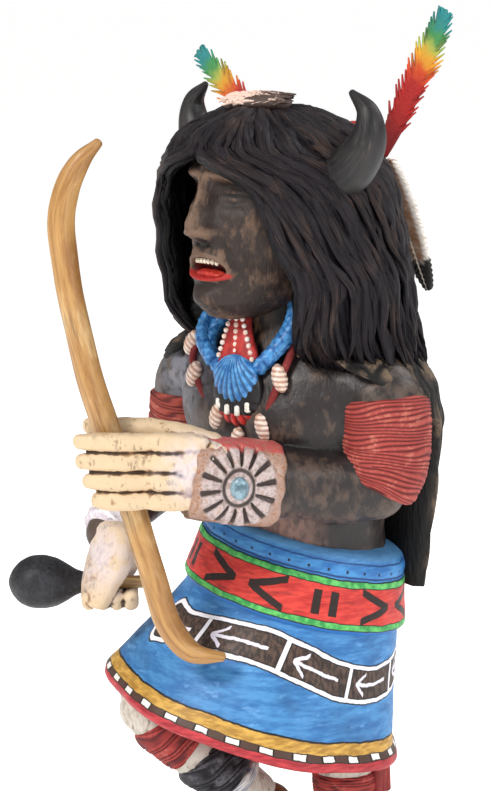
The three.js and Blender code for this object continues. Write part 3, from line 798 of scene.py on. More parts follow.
def add_camera():
    data = bpy.data.cameras.new("view")
    data.sensor_fit = "VERTICAL"
    data.sensor_height = SENSOR_HEIGHT
    data.lens = SENSOR_HEIGHT * FOCAL_LENGTH / PHOTO_HEIGHT
    data.clip_start = 0.05
    camera = bpy.data.objects.new("view", data)
    camera.location = (0.5254, -0.6557, 0.380)
    camera.rotation_euler = (math.radians(79.2), 0, math.radians(40))
    bpy.context.collection.objects.link(camera)
    bpy.context.scene.camera = camera


def add_light(name, place, target, size, watts, tint):
    data = bpy.data.lights.new(name, "AREA")
    data.shape = "DISK"
    data.size = size
    data.energy = watts
    data.color = tint
    lamp = bpy.data.objects.new(name, data)
    lamp.location = place
    away = np.array(place) - np.array(target)
    flat = math.hypot(away[0], away[1])
    lamp.rotation_euler = (math.atan2(flat, away[2]), 0, math.atan2(away[0], -away[1]))
    bpy.context.collection.objects.link(lamp)


def add_studio():
    middle = (0, 0, 0.22)
    add_light("key", (-0.15, -1.2, 1.25), middle, 0.45, 20, (1.0, 0.98, 0.95))
    add_light("fill", (1.35, -0.2, 0.75), middle, 0.6, 8.5, (0.96, 0.98, 1.0))
    add_light("back", (0.5, 1.1, 1.3), middle, 0.7, 9, (0.97, 0.98, 1.0))
    world = bpy.data.worlds.new("studio")
    world.use_nodes = True
    sky = world.node_tree.nodes["Background"]
    sky.inputs[0].default_value = (1, 1, 1, 1)
    sky.inputs[1].default_value = SKY_STRENGTH
    bpy.context.scene.world = world
    bpy.context.scene.view_settings.view_transform = "Standard"
    mesh = bpy.data.meshes.new("floor")
    half = 90.0
    mesh.from_pydata([(-half, -half, 0), (half, -half, 0), (half, half, 0), (-half, half, 0)],
                     [], [(0, 1, 2, 3)])
    floor = bpy.data.objects.new("floor", mesh)
    bpy.context.collection.objects.link(floor)
    paint = Paint("pale_floor", 0.9)
    paint.plug(paint.shader.inputs["Emission Color"], colour("ffffff"))
    paint.plug(paint.shader.inputs["Emission Strength"], 0.62)
    mesh.materials.append(paint.done(paint.mix("f6f6f5", "f9f9f8", paint.noise(400))))


# The body: torso, arms and hands

TORSO = [[124, 37, 30, 4, 2], [142, 35, 28, 4, 1], [156, 36.5, 28, 2, 0], [172, 39, 29, 0, 0],
         [184, 42.5, 30, 0, -1], [190, 44.5, 31, 0, -2], [199, 46.5, 32, 0, -3],
         [209, 47, 30.5, 0, -3], [218, 42, 27, 0, -4], [226, 30, 21, 0, -5], [234, 18, 17, -1, -7],
         [250, 15, 15, -2, -9]]
LEFT_UPPER = [[38, -4, 216, 15, 13], [45.5, -3.5, 209, 15.8, 16], [48, -3.5, 200, 15.8, 16.4],
              [48.6, -4, 190, 15.2, 16], [48, -6, 182, 14.2, 15], [45.5, -9, 176.5, 13.2, 14]]
LEFT_FORE = [[47, -6, 176.5, 13.4, 13.6], [40, -14, 175.5, 13.8, 14], [28, -31, 177, 12.2, 12.6],
             [17, -46.5, 179.2, 11.6, 13.4], [2.5, -65.5, 182.6, 8.6, 12], [1, -67, 183, 8, 11]]
CHEST_BRIDGE = [[16, -14, 207.5, 14, 14.5], [31, -9.5, 211, 13, 13], [43, -5, 210.5, 12.5, 12.5]]
RIGHT_UPPER = [[-44, -2, 212, 14, 12], [-52, 0, 205, 14.6, 15], [-53.4, 0, 200, 14.2, 14.8],
               [-55.4, 0, 185, 13.6, 14.2], [-55.5, 0, 183.5, 13.2, 14], [-57, -3, 165, 11.5, 12]]
RIGHT_FORE = [[-57, -3, 166, 12, 12], [-57.5, -22, 161, 12, 12], [-57.5, -34, 154.6, 9.8, 9.8],
              [-57.4, -46, 147.4, 9.4, 9.4], [-57, -48, 146, 8.8, 8.8]]
MUSCLES = [((17, -33, 197), 13, 2.4), ((-17, -33, 197), 13, 2.4), ((0, -33, 198), 4, -2.0),
           ((55, -10, 206), 11, 1.2), ((-60, -6, 204), 10, 1.2), ((36, -22, 168), 8, 1.0),
           ((8, -31, 168), 6, 0.9), ((-8, -31, 168), 6, 0.9), ((0, -30, 166), 3, -1.2),
           ((14, -28, 183), 7, -1.4), ((-14, -28, 183), 7, -1.4), ((28, -24, 160), 8, 0.8)]


def muscle_relief(points):
    out = np.zeros(len(points))
    for centre, size, amount in MUSCLES:
        out += amount * np.exp(-((points - np.array(centre)) ** 2).sum(1) / size ** 2)
    knife = cloud(points, 5.5, 1) * 0.34 + cloud(points, 2.2, 2) * 0.14
    return out + knife


def make_body():
    form = Form()
    form.tube(stack(eased(TORSO, 2), full_turn(72), power=2.2))
    far_bridge = [[-x, y + 1, z, a, b] for x, y, z, a, b in CHEST_BRIDGE]
    far_bridge[-1][0] = -48
    for stops, up, power in ((LEFT_UPPER, BACK, 2.0), (LEFT_FORE, UP, 2.4),
                             (CHEST_BRIDGE, UP, 2.0), (far_bridge, UP, 2.0),
                             (RIGHT_UPPER, BACK, 2.0), (RIGHT_FORE, UP, 2.0)):
        form.tube(limb(eased(stops, 1.5), up, power, 40))
    whole = fused(form, BODY_VOXEL, 6, 15, muscle_relief)
    finish_piece("body", whole, skin_paint(), replaces=["figure"])


def finger(form, stops, up=UP, power=2.8):
    """A round-ended finger on a smooth curve through its stops."""
    form.tube(limb(curved(stops, 14), up, power, 20, cap=0.85))


def make_hands():
    half = FINGER_WIDTH / 2
    outer = BOW_RADIUS + half
    form = Form()
    for i, reach in enumerate([12.7, 12.1, 9.4, 6.4]):
        high = 6.4 - i * 2 * half
        slim = half * 1.0
        low = high - 0.5 * i + 0.6
        finger(form, left_grip([[-32, outer - 1.2, low * 0.96 - 0.5, slim, slim],
                                [-19, outer + 0.9, low, slim * 1.12, slim * 1.08],
                                [-12, outer - 0.1, low, slim * 0.94, slim * 0.94],
                                [-3, outer + 0.8, low, slim * 1.04, slim * 1.02],
                                [reach * 0.6, outer + 0.1, low, slim * 0.94, slim * 0.95],
                                [reach, outer - 0.9, low, slim * 0.8, slim * 0.84]]))
    form.tube(limb(eased(left_grip([[-44, 1, -7, 6.5, 10], [-37, 3.4, -5.8, 7.2, 12.2],
                                    [-26, 4.6, -4.2, 7.4, 13], [-15, 4.2, -3.9, 6.8, 12.7],
                                    [-9, 1.4, -3.9, 5, 12]]), 1), UP, 3, 40))
    finger(form, left_grip([[-36, 0, 4, 5.0, 5.0], [-20, -5.6, 8.2, 4.2, 4.0], [-4, -8.4, 9.4, 3.8, 3.6],
                            [10, -7.8, 9.8, 3.4, 3.2]]), power=2.2)
    wrap = STICK_RADIUS + 3
    form.tube(limb(eased(right_grip([[-3, 0, 20, 9.4, 7], [0, 3, 10, 10.5, 5.6],
                                     [4.5, 6.2, 0, 8.2, 4.4], [6, 6, -6, 6.4, 4]]), 1), BACK, 2.6, 36))
    for along in (8.4, 2.9, -2.6, -8.1):
        finger(form, right_grip([[along, wrap + 1, -4, 2.9, 2.9],
                                 [along, wrap * 0.4, -wrap - 2.4, 2.9, 2.9],
                                 [along, -wrap * 0.9, -wrap * 0.5, 2.6, 2.6]]), BACK, 2.2)
    finger(form, right_grip([[-8, -2, 13, 4.2, 4.2], [-6, -wrap - 1, 3, 3.4, 3.4],
                             [2, -wrap - 0.8, -1, 3, 3]]), UP, 2.2)
    whole = fused(form, HAND_VOXEL, 1, 9, lambda p: cloud(p, 3.4, 5) * 0.26 + cloud(p, 1.4, 6) * 0.08)
    finish_piece("hands", whole, hand_paint())


def wound(form, stops, up=UP, power=2.0, pitch=1.9, depth=0.05, slant=1.0, proud=0.0):
    """Yarn wound round a limb: its turns stand proud and run a little aslant."""
    rows = eased(stops, 0.32, 6)
    rows[:, 3:5] += proud
    length = np.linalg.norm(np.diff(rows[:, :3], axis=0), axis=1).sum()
    turns = length / pitch

    def wraps(share, angle):
        shift = (0.35 * np.sin(angle * 2 + 1) + 0.2 * np.sin(5 * angle)
                 + 0.4 * np.sin(share * 19 + angle * 1.7))
        return np.abs(np.sin(np.pi * (share * turns + slant * angle / (2 * np.pi) + shift)))
    rings = limb(rows, up, power, 72, lambda s, a: depth * (wraps(s, a) ** 0.7 - 0.6), cap=0.12)
    values = wraps(np.arange(len(rows))[:, None] / (len(rows) - 1), full_turn(72)[None, :])
    form.tube(rings, wrap=capped(values))


def make_arm_bands():
    near, far = Form(), Form()
    wound(near, [[46.6, -3.5, 208.4, 16.2, 16.4], [46.9, -3.6, 206.6, 17.2, 17.4],
                 [47.8, -3.9, 200, 17.2, 17.6],
                 [48.5, -4.5, 190, 16.8, 17.4], [48.4, -5.6, 183, 16.4, 17], [47.4, -7.6, 177, 15.6, 16.2],
                 [46.8, -8.6, 174.8, 14.2, 15]], BACK, pitch=1.45, depth=0.034, proud=0.1)
    wound(far, [[-53.6, 0, 199, 15.4, 15.8], [-53.6, 0, 197.5, 16, 16.2], [-55.4, 0, 186, 15.4, 16],
                [-55.4, 0, 184, 14.4, 15]], BACK, pitch=1.9, proud=0.4)
    finish_piece("arm_band_left", near, yarn_paint("near_arm_yarn", "a1403a", "5c1a18", "b9705e"))
    finish_piece("arm_band_right", far, yarn_paint("far_arm_yarn", "963f33", "571a17", "a8685a"))


def make_bow_guard():
    """The wrist plate: a wavy-edged band with petals round an oval stone."""
    rows = eased([[22.4, -39.4, 178.2, 12.8, 15.2], [22, -40, 178.3, 13.6, 16],
                  [16, -47.6, 179.4, 13.6, 16.4],
                  [3.2, -64.6, 182.4, 11.6, 15.6], [2.8, -65.2, 182.5, 11, 15]], 0.4, 3)
    sides = 168
    angle = full_turn(sides)
    start = np.linalg.norm(rows[:, :3] - rows[0, :3], axis=1)
    middle = start[-1] * 0.5
    wrapped = np.where(angle > np.pi, angle - 2 * np.pi, angle)
    along = start[:, None] - middle
    around = wrapped[None, :] * 14.5
    reach = np.hypot(along, around * 0.92)
    spoke = np.abs(np.cos(7 * np.arctan2(around * 0.92, along)))
    petal = np.clip((reach - 6.2) / 1.0, 0, 1) * np.clip((15 - reach) / 1.2, 0, 1)
    cut = petal * np.clip((0.62 - spoke) / 0.34, 0, 1)
    rim = bell(reach, 5.6, 0.7)
    edge = 0.2 * np.cos(9 * wrapped)[None, :] * np.abs(along / middle) ** 6
    raised = 0.05 * petal * spoke - 0.075 * cut - 0.04 * rim + 0.012 * cloud(
        np.stack([along + 0 * around, around + 0 * along, 0 * reach], -1), 3, 4)
    rings = limb(rows, UP, 2.5, sides, lambda s, a: raised, cap=0.1)
    way = unit_rows(rows[-1:, :3] - rows[:1, :3])[0]
    rings = rings + capped(edge * np.sign(along))[..., None] * way * 2
    form = Form().tube(rings, cut=capped(np.maximum(cut, rim * 0.9)), reach=capped(reach),
                       around=capped(np.broadcast_to(around, reach.shape)))
    finish_piece("bow_guard", form, cuff_paint())
    seat = rings[len(rings) // 2, 0]
    stone = ball((0, 0, 0), (3.5, 2.5, 4.4), 32, 16)
    stone = turned(seat[0], seat[1], seat[2], 37)(stone)
    finish_piece("bow_guard_stone", Form().tube(stone),
                 plain_paint("grey_stone", "4f6672", "83a0ac", "333f46", 2.5, 0.3, 0.5))


def make_bracelet():
    rows = eased([[-57.5, -35, 154, 10.8, 10.8], [-57.5, -36.5, 153, 12, 12],
                  [-57.4, -45.5, 147.6, 11.6, 11.6],
                  [-57.3, -47, 146.8, 10.4, 10.4]], 0.5, 3)
    rings = limb(rows, UP, 2, 60, lambda s, a: 0.05 * np.sin(s * 16) * np.cos(a * 7), cap=0.1)
    finish_piece("bracelet", Form().tube(rings),
                 plain_paint("bracelet_paint", "e6e0e4", "c9bcc6", "3b2f49", 3.2, 0.5))


# The head: face, teeth and hood of hair

FACE = [[237.5, 5, 10, 0, -14], [238.8, 9, 16, 0, -12.5], [241.2, 13, 21, 0, -9.5],
        [244.4, 16.5, 27, 0, -5.5], [249, 20, 31.5, 0, -1], [255, 23, 34, 0, 1.5],
        [263, 25, 34.5, 0, 2], [272, 26, 34.5, 0, 2], [284, 26, 33, 0, 2], [292, 26, 34, 0, 2],
        [301, 24, 31, 0, 2], [309, 16, 23, 0, 2]]
MOUTH_LEVEL = 258
EYE_LEVEL = 286


def face_relief(x, z):
    """How far the carved features stand out from the oval of the face, and their paint."""
    side = np.abs(x)
    out = 3.2 * bell(z, 293.6 - 0.06 * side, 3.2) * bell(side, 9, 11)
    out -= 0.8 * bell(side, 0, 2.4) * bell(z, 292, 3)
    out -= 5.2 * bell(side, 10.5, 7) * bell(z, EYE_LEVEL, 4.6)
    out += 3.6 * bell(side, 10.8, 4.6) * bell(z, EYE_LEVEL - 0.6, 2.4)
    slit = bell(side, 10.8, 4.6) * bell(z, EYE_LEVEL - 0.9, 0.95)
    out -= 1.5 * slit
    out -= 0.45 * bell(side, 10.8, 5) * bell(z, EYE_LEVEL + 2.4, 0.8)
    out -= 0.35 * bell(side, 11, 5) * bell(z, EYE_LEVEL - 4.2, 0.9)
    bridge = np.interp(z, [266.6, 268.4, 270.8, 275, 283, 290, 294.5], [0, 4.4, 8.6, 9.4, 6.4, 3.4, 0.4])
    width = np.interp(z, [267, 271, 275, 283, 292], [5.0, 4.8, 3.7, 3.1, 3.2])
    out += bridge * np.exp(-(side / width) ** 2.4)
    out += 4.0 * bell(side, 5.6, 2.5) * bell(z, 271.4, 2.9)
    out -= 2.6 * bell(side, 2.9, 1.3) * bell(z, 268.2, 1.2)
    out += 2.4 * bell(side, 18.5, 6) * bell(z, 276, 6)
    out -= 2.2 * bell(side, 17, 5) * bell(z, 261, 6)
    fold = 7.0 + (271 - z) * 0.45
    out -= 1.5 * bell(side, fold, 1.7) * bell(z, 264, 6)
    level = MOUTH_LEVEL - 0.008 * x * x
    spread = np.hypot(x / 10.2, (z - level) / 3.9)
    muzzle = np.hypot(x / 16, (z - MOUTH_LEVEL) / 9)
    out += 1.7 * np.exp(-muzzle ** 4)
    lips = bell(spread, 1.1, 0.18)
    out += 1.1 * lips
    mouth = 1 / (1 + np.exp((spread - 0.9) * 20))
    out -= 8.0 * mouth
    lower = 1 / (1 + np.exp((z - level + 0.8) * 2))
    out += 2.8 * np.exp(-(side / 9) ** 2.4) * bell(z, 246, 3.8)
    out -= 1.7 * bell(side, 0, 9) * bell(z, 251.2, 1.6)
    out += 1.2 * bell(side, 21, 4) * bell(z, 252, 8)
    out -= 0.8 * bell(z, 298.5, 0.9) * bell(side, 0, 13) + 0.6 * bell(z, 302, 0.8) * bell(side, 3, 11)
    return out, lips * lower, mouth, slit


def make_face():
    front = np.linspace(-100, 100, 210)
    behind = np.linspace(112, 248, 10)
    angle = np.radians(np.concatenate([front, behind]) - 90)
    rows = eased(FACE, 0.65, 5)
    rings = stack(rows, angle, power=2.1)
    x, z = rings[..., 0], rings[..., 2]
    ahead = np.clip(-np.sin(angle), 0, 1)[None, :] * np.ones_like(x)
    out, lips, mouth, slit = face_relief(x, z)
    fade = np.clip(ahead * 2.2, 0, 1)
    knife = cloud(rings, 4.5, 8) * 0.3 + cloud(rings, 1.8, 9) * 0.12
    move = out * fade + knife * (1 - mouth)
    rings[..., 0] += move * np.cos(angle) * 0.35
    rings[..., 1] += move * np.sin(angle)
    form = Form().tube(head(rings), lips=lips * fade, mouth=mouth * fade, eye=slit * fade)
    points, quads = np.concatenate(form.points), np.concatenate(form.quads)
    side = np.sign((normals_of(points, quads) * (points - points.mean(0))).sum())
    deep = ((relaxed(points, quads, 16) - points) * normals_of(points, quads)).sum(1) * side
    form.values["hollow"] = [deep / np.percentile(np.abs(deep), 95)]
    finish_piece("face", form, face_paint())


def make_teeth():
    form = Form()
    tongue = head([[0, -28.5, MOUTH_LEVEL - 2.4, 8, 1.5], [0, -31.2, MOUTH_LEVEL - 2.8, 6.5, 1.2]])
    for k in range(-3, 4):
        x = k * 1.9
        depth = -32.2 + 0.03 * x * x
        form.tube(ball(head([[x, depth, MOUTH_LEVEL + 2.4 - 0.01 * x * x]])[0], (0.85, 0.9, 1.2), 10, 6))
    finish_piece("teeth", form, plain_paint("painted_teeth", "e8dfce", "cfc2a8", "8b6a52", 2, 0.4))
    red = Form().tube(limb(curved(tongue, 6), UP, 2, 20))
    finish_piece("tongue", red, plain_paint("mouth_red", "a52822", "c23f33", "5b1512", 2, 0.4))


HOOD = [[317, 5, 6, 0, -2], [314.5, 17, 19, 0, -1], [307, 31, 33, 0, 0], [297, 39, 41, 0, 1.5],
        [284, 43, 45, 0, 3.5], [266, 44.5, 46.5, 0, 6], [247, 48, 45, 0, 9], [233, 52, 40, 0, 14.5],
        [220, 54, 30, 0, 24]]
HOLLOW = [[200, 36, 40, 0, -36], [222, 33, 38, 0, -34], [240, 30.5, 35, 0, -32],
          [268, 29.5, 33, 0, -31], [284, 28, 31, 0, -30], [294.5, 21, 26, 0, -30], [299.5, 8, 18, 0, -32]]


def hollow_at(z):
    levels = np.array(HOLLOW, float)
    return [np.interp(z, levels[:, 0], levels[:, k]) for k in range(1, 5)]


def hood_radius(rows, angle):
    """The hood's share of its outer oval at each angle, cut back where the face opening starts."""
    z, a, b, x, y = [rows[:, k:k + 1] for k in range(5)]
    wide, deep, mx, my = hollow_at(z)
    dx, dy = a * np.cos(angle), b * np.sin(angle)
    p = (dx / wide) ** 2 + (dy / deep) ** 2
    q = ((x - mx) * dx / wide ** 2 + (y - my) * dy / deep ** 2)
    r = ((x - mx) / wide) ** 2 + ((y - my) / deep) ** 2 - 1
    inside = q * q - p * r
    enter = np.where(inside > 0, (-q - np.sqrt(np.maximum(inside, 0))) / p, 9)
    enter = np.where((enter <= 0) | (z > 299.5), 9, enter)
    return np.minimum(1, enter)


def make_hood_shell():
    angle = full_turn(170)
    rows = eased(HOOD, 1.5, 5)
    share = hood_radius(rows, angle)
    for _ in range(5):
        share[1:-1] = (share[:-2] + 2 * share[1:-1] + share[2:]) / 4
    rings = stack(rows, angle, relief=lambda a, z: share * 0.955 - 1)
    droop = np.where(rows[:, :1] < 245, 0.08, 0) * rows[:, 1:2] * np.cos(angle) ** 2
    rings[..., 2] -= droop
    groove = cloud(np.stack([np.cos(angle) * 40 + 0 * rings[..., 0], np.sin(angle) * 40 + 0 * rings[..., 0],
                             rings[..., 2] * 0.12], -1), 2.6, 4)
    rings[..., :2] += (np.stack([np.cos(angle), np.sin(angle)], -1)[None] * groove[..., None]) * 0.7
    # The crest value drives the hair paint's painted shade and highlight: it is low inside the face opening,
    # so the hair is painted dark there, and higher on the outward bumps.
    finish_piece("hair_ground", Form().tube(head(rings), along=rings[..., 2], around=angle[None, :] * 8,
                                            tone=0.2, crest=np.where(share < 0.99, 0.1, 0.35 + 0.3 * groove)),
                 HAIR)


def opening(rows):
    """The half-angle of the face opening at each row, in radians from straight ahead."""
    angle = np.radians(np.linspace(0, 110, 221))
    share = hood_radius(rows, angle[None, :] - np.pi / 2)
    return angle[np.argmax(share >= 0.999, axis=1)]


def lock_rings(rows, gaps, u, start, end, size, lift):
    """One rope-like lock down the hood, from row start to row end, with its painted values."""
    k = 29
    tone = draws.uniform(0, 1)
    t = np.linspace(0, 1, k)
    at = start + (end - start) * t
    steps = np.arange(len(rows))
    level = np.stack([np.interp(at, steps, rows[:, c]) for c in range(5)], axis=1)
    near, far = np.interp(at, steps, gaps[0]), np.interp(at, steps, gaps[1])
    wave = (draws.normal(0, 0.010) * np.sin(t * draws.uniform(6, 16) + draws.uniform(0, 6))
            + draws.normal(0, 0.018) * t)
    drift = 0.085 * t * np.sin(2 * np.pi * u)
    v = np.clip(u + wave + drift, 0.0, 1.0)
    angle = -np.pi / 2 + near + v * (2 * np.pi - near - far)
    proud = lift * np.minimum(1, t * 5 + 0.2) - 1.2 * (1 - np.minimum(1, t * 8))
    proud = proud + 0.75 * np.sin(at * draws.uniform(0.25, 0.6) + draws.uniform(0, 6))
    a, b = level[:, 1] + proud - 1.4, level[:, 2] + proud - 1.4
    over = np.maximum(0, at - (len(rows) - 1)) * 1.2
    z = level[:, 0] - np.where(level[:, 0] < 245, 0.08, 0) * level[:, 1] * np.cos(angle) ** 2 - over
    centre = np.stack([level[:, 3] + a * np.cos(angle), level[:, 4] + b * np.sin(angle), z], -1)
    tangent = unit_rows(np.gradient(centre, axis=0))
    out = unit_rows(np.stack([np.cos(angle) / a, np.sin(angle) / b, 0.006 + 0 * angle], -1))
    across = unit_rows(np.cross(tangent, out))
    out = np.cross(across, tangent)
    radius = size * np.minimum(1, t * 7 + 0.35) * np.clip((1 - t) * 4.5 + 0.12, 0, 1)
    radius = radius * (1 + 0.13 * np.sin(at * draws.uniform(1.2, 2.4) + draws.uniform(0, 6)))
    around = full_turn(8)
    twist = at * draws.uniform(-0.16, 0.16)
    rope = 1 + 0.2 * np.cos(2 * around[None, :] + twist[:, None] * 3)
    wide = across[:, None] * np.cos(around)[None, :, None] * 1.1
    high = out[:, None] * np.sin(around)[None, :, None] * 0.95
    rings = centre[:, None] + radius[:, None, None] * rope[..., None] * (wide + high)
    length = np.concatenate([[0], np.cumsum(np.linalg.norm(np.diff(centre, axis=0), axis=1))])
    # Crest: high on each lock's outer side and on raised locks, low on its inner side; the hair paint turns
    # it into painted highlight and painted shade.
    crest = 0.3 + 0.5 * np.sin(around)[None, :] * rope + 0.14 * lift
    return rings, dict(along=length[:, None] + tone * 50, around=np.cos(around)[None, :] * 1.5,
                       tone=tone, crest=crest)


def make_hair():
    rows = eased(HOOD, 1.5, 5)
    gap = opening(rows)
    near_edge = np.radians(np.interp(rows[:, 0], [220, 233, 247, 262, 280, 292, 299],
                                     [64, 60, 57, 51, 44, 36, 12]))
    far_edge = np.radians(np.interp(rows[:, 0], [220, 247, 280, 292, 299], [50, 46, 42, 36, 12]))
    gaps = []
    for edge in (near_edge, far_edge):
        edge = np.minimum(gap, edge)
        for _ in range(6):
            edge[1:-1] = (edge[:-2] + 2 * edge[1:-1] + edge[2:]) / 4
        gaps.append(edge)
    girth = (rows[:, 1] + rows[:, 2]) * (2 * np.pi - gaps[0] - gaps[1])
    sides = {"hair_left": Form(), "hair_right": Form()}
    last = len(rows) - 1
    plans = []
    for i in range(LOCK_COUNT):
        u = (i * 0.6180339887) % 1.0
        rank = (i + 0.5) / LOCK_COUNT
        rank = rank if rank < 0.6 else draws.uniform(0, 1)
        start = float(np.argmax(girth >= rank * girth.max() * 0.96)) * draws.uniform(0.8, 1.0)
        end = last + draws.uniform(-12, 3)
        if start > end - 8:
            start = end - draws.uniform(10, 24)
        plans.append((u, max(0.0, start), end, draws.uniform(1.05, 2.0), draws.uniform(-1.0, 3.2)))
    for u in list(np.linspace(0.0, 0.05, 7)) + list(np.linspace(0.96, 1.0, 6)):
        for start in (1.0, 12.0, 30.0):
            plans.append((u, start + draws.uniform(0, 4), last + draws.uniform(-9, 2),
                          draws.uniform(1.4, 2.2), draws.uniform(-0.8, 1.6)))
    for u, start, end, size, lift in plans:
        rings, values = lock_rings(rows, gaps, u, start, end, size, lift)
        sides["hair_left" if u < 0.5 else "hair_right"].tube(head(rings), **values)
    for name, form in sides.items():
        finish_piece(name, form, HAIR)


# The hide mantle down the back

MANTLE = [[231, 43, 33, -46], [222, 56, 42, -36], [211, 63.5, 46, -8], [198, 65.5, 47.5, 14],
          [176, 63, 47.5, 24], [150, 60.5, 46.5, 29], [129, 58, 45, 33]]


def make_mantle():
    rows = eased(MANTLE, 0.9, 8)
    columns, inner_columns = 210, 36
    z, a, b, first = [rows[:, k:k + 1] for k in range(4)]

    def layer(share, inset):
        angle = np.radians(first + (180 - 2 * first) * share)
        return np.stack([(a - inset) * np.cos(angle), (b - inset) * np.sin(angle), z + 0 * angle], -1)
    share = np.linspace(0, 1, columns)[None, :]
    plain = layer(share, 0)
    drawn = plain * np.array([1, 1, 0.13]) + np.array([0, 0, 1.0]) * cloud(plain, 14, 3)[..., None]
    ridges = np.abs(cloud(drawn, 4.2, 6)) ** 0.7 + 0.4 * np.abs(cloud(drawn, 1.9, 7))
    low = np.clip((z - 129) / 26, 0, 1)
    outer = layer(share, 1.9 * (1 - ridges) + 0.6)
    ragged = cloud(np.stack([share * 150, share * 0, share * 0], -1), 5, 9) * 4.5
    outer[..., 2] += (1 - low) * ragged
    back = np.linspace(1, 0, inner_columns)[None, :]
    inner = layer(back, HIDE_THICKNESS + 15 * np.sqrt(np.maximum(np.sin(np.pi * back), 0)))
    inner[..., 2] += (1 - low) * cloud(np.stack([back * 150, back * 0, back * 0], -1), 5, 9) * 4.5
    # The inner layer gets a high groove value, so the mantle paint lays painted shade on the hide's
    # underside.
    groove = np.concatenate([1 - ridges, 0.8 + 0 * inner[..., 0]], axis=1)
    form = Form().tube(np.concatenate([outer, inner], axis=1), groove=groove)
    finish_piece("mantle", form, mantle_paint())


# The kilt and its sash

KILT = [[96, 34, 30, -8, -8], [86, 46, 42, -11, -10], [76.5, 55.5, 49.5, -12, -11],
        [73.7, 57.6, 51.6, -12, -11], [HEM_LEVEL, 59.5, 53.5, -12, -11], [74.6, 61, 55, -12, -11],
        [76.5, 61.2, 55.2, -12, -11], [78.4, 60.4, 54.4, -12, -11], [80, 59.2, 53.2, -12, -11],
        [98, 51.5, 45.5, -6.5, -6], [118, 44, 38, 0, -0.5], [134, 40, 34, 3, 1.5]]
SASH = [[119, 40, 34, 1, 0], [121.5, 44, 37.6, 0, 0], [123.4, 46.6, 40.2, 0.4, 0.2],
        [133, 44.6, 38.0, 2, 1], [142, 43.0, 36.4, 3.6, 1.8], [143.4, 41.6, 35.2, 4, 2],
        [144.6, 42.2, 35.8, 4.2, 2.1], [147.5, 41.6, 35.4, 4.6, 2.4], [150.5, 40.2, 34.2, 4.8, 2.4],
        [152, 38, 32.2, 4.6, 2.2], [153.4, 33, 27, 4, 2]]


def cloth_piece(name, stops, lean, level, material, step, sides, relief, edge_row):
    rows = eased(stops, step, 3)
    angle = full_turn(sides)
    rings = stack(rows, angle, lean, relief=relief)
    outward = np.arange(len(rows)) >= np.argmax(rows[:, 0] <= edge_row) if edge_row else True
    rise = np.where(outward, (rows[:, 0] - level) * 1.04, -3)
    form = Form().tube(rings, rise=rise, east=np.cos(angle)[None, :], north=np.sin(angle)[None, :])
    finish_piece(name, form, material)


def make_kilt():
    def folds(angle, z):
        scallop = np.where(z < 104, 0.018 * np.sin(7 * angle) * (104 - z) / 30, 0)
        spots = np.stack(np.broadcast_arrays(50 * np.cos(angle), 50 * np.sin(angle), z), -1)
        return scallop + 0.006 * cloud(spots, 9, 2) + 0.0025 * cloud(spots, 2.5, 3)
    lowest = HEM_LEVEL + 0.3
    cloth_piece("kilt", KILT, HEM_LEAN, HEM_LEVEL, kilt_paint(), 0.95, 250, folds, lowest)


def make_sash():
    def rubbed(angle, z):
        spots = np.stack(np.broadcast_arrays(44 * np.cos(angle), 44 * np.sin(angle), z), -1)
        return 0.006 * cloud(spots, 8, 5) + 0.003 * cloud(spots, 2.5, 6)
    cloth_piece("sash", SASH, PELVIS_LEAN, SASH_LEVEL, sash_paint(), 0.7, 220, rubbed, None)


# Legs

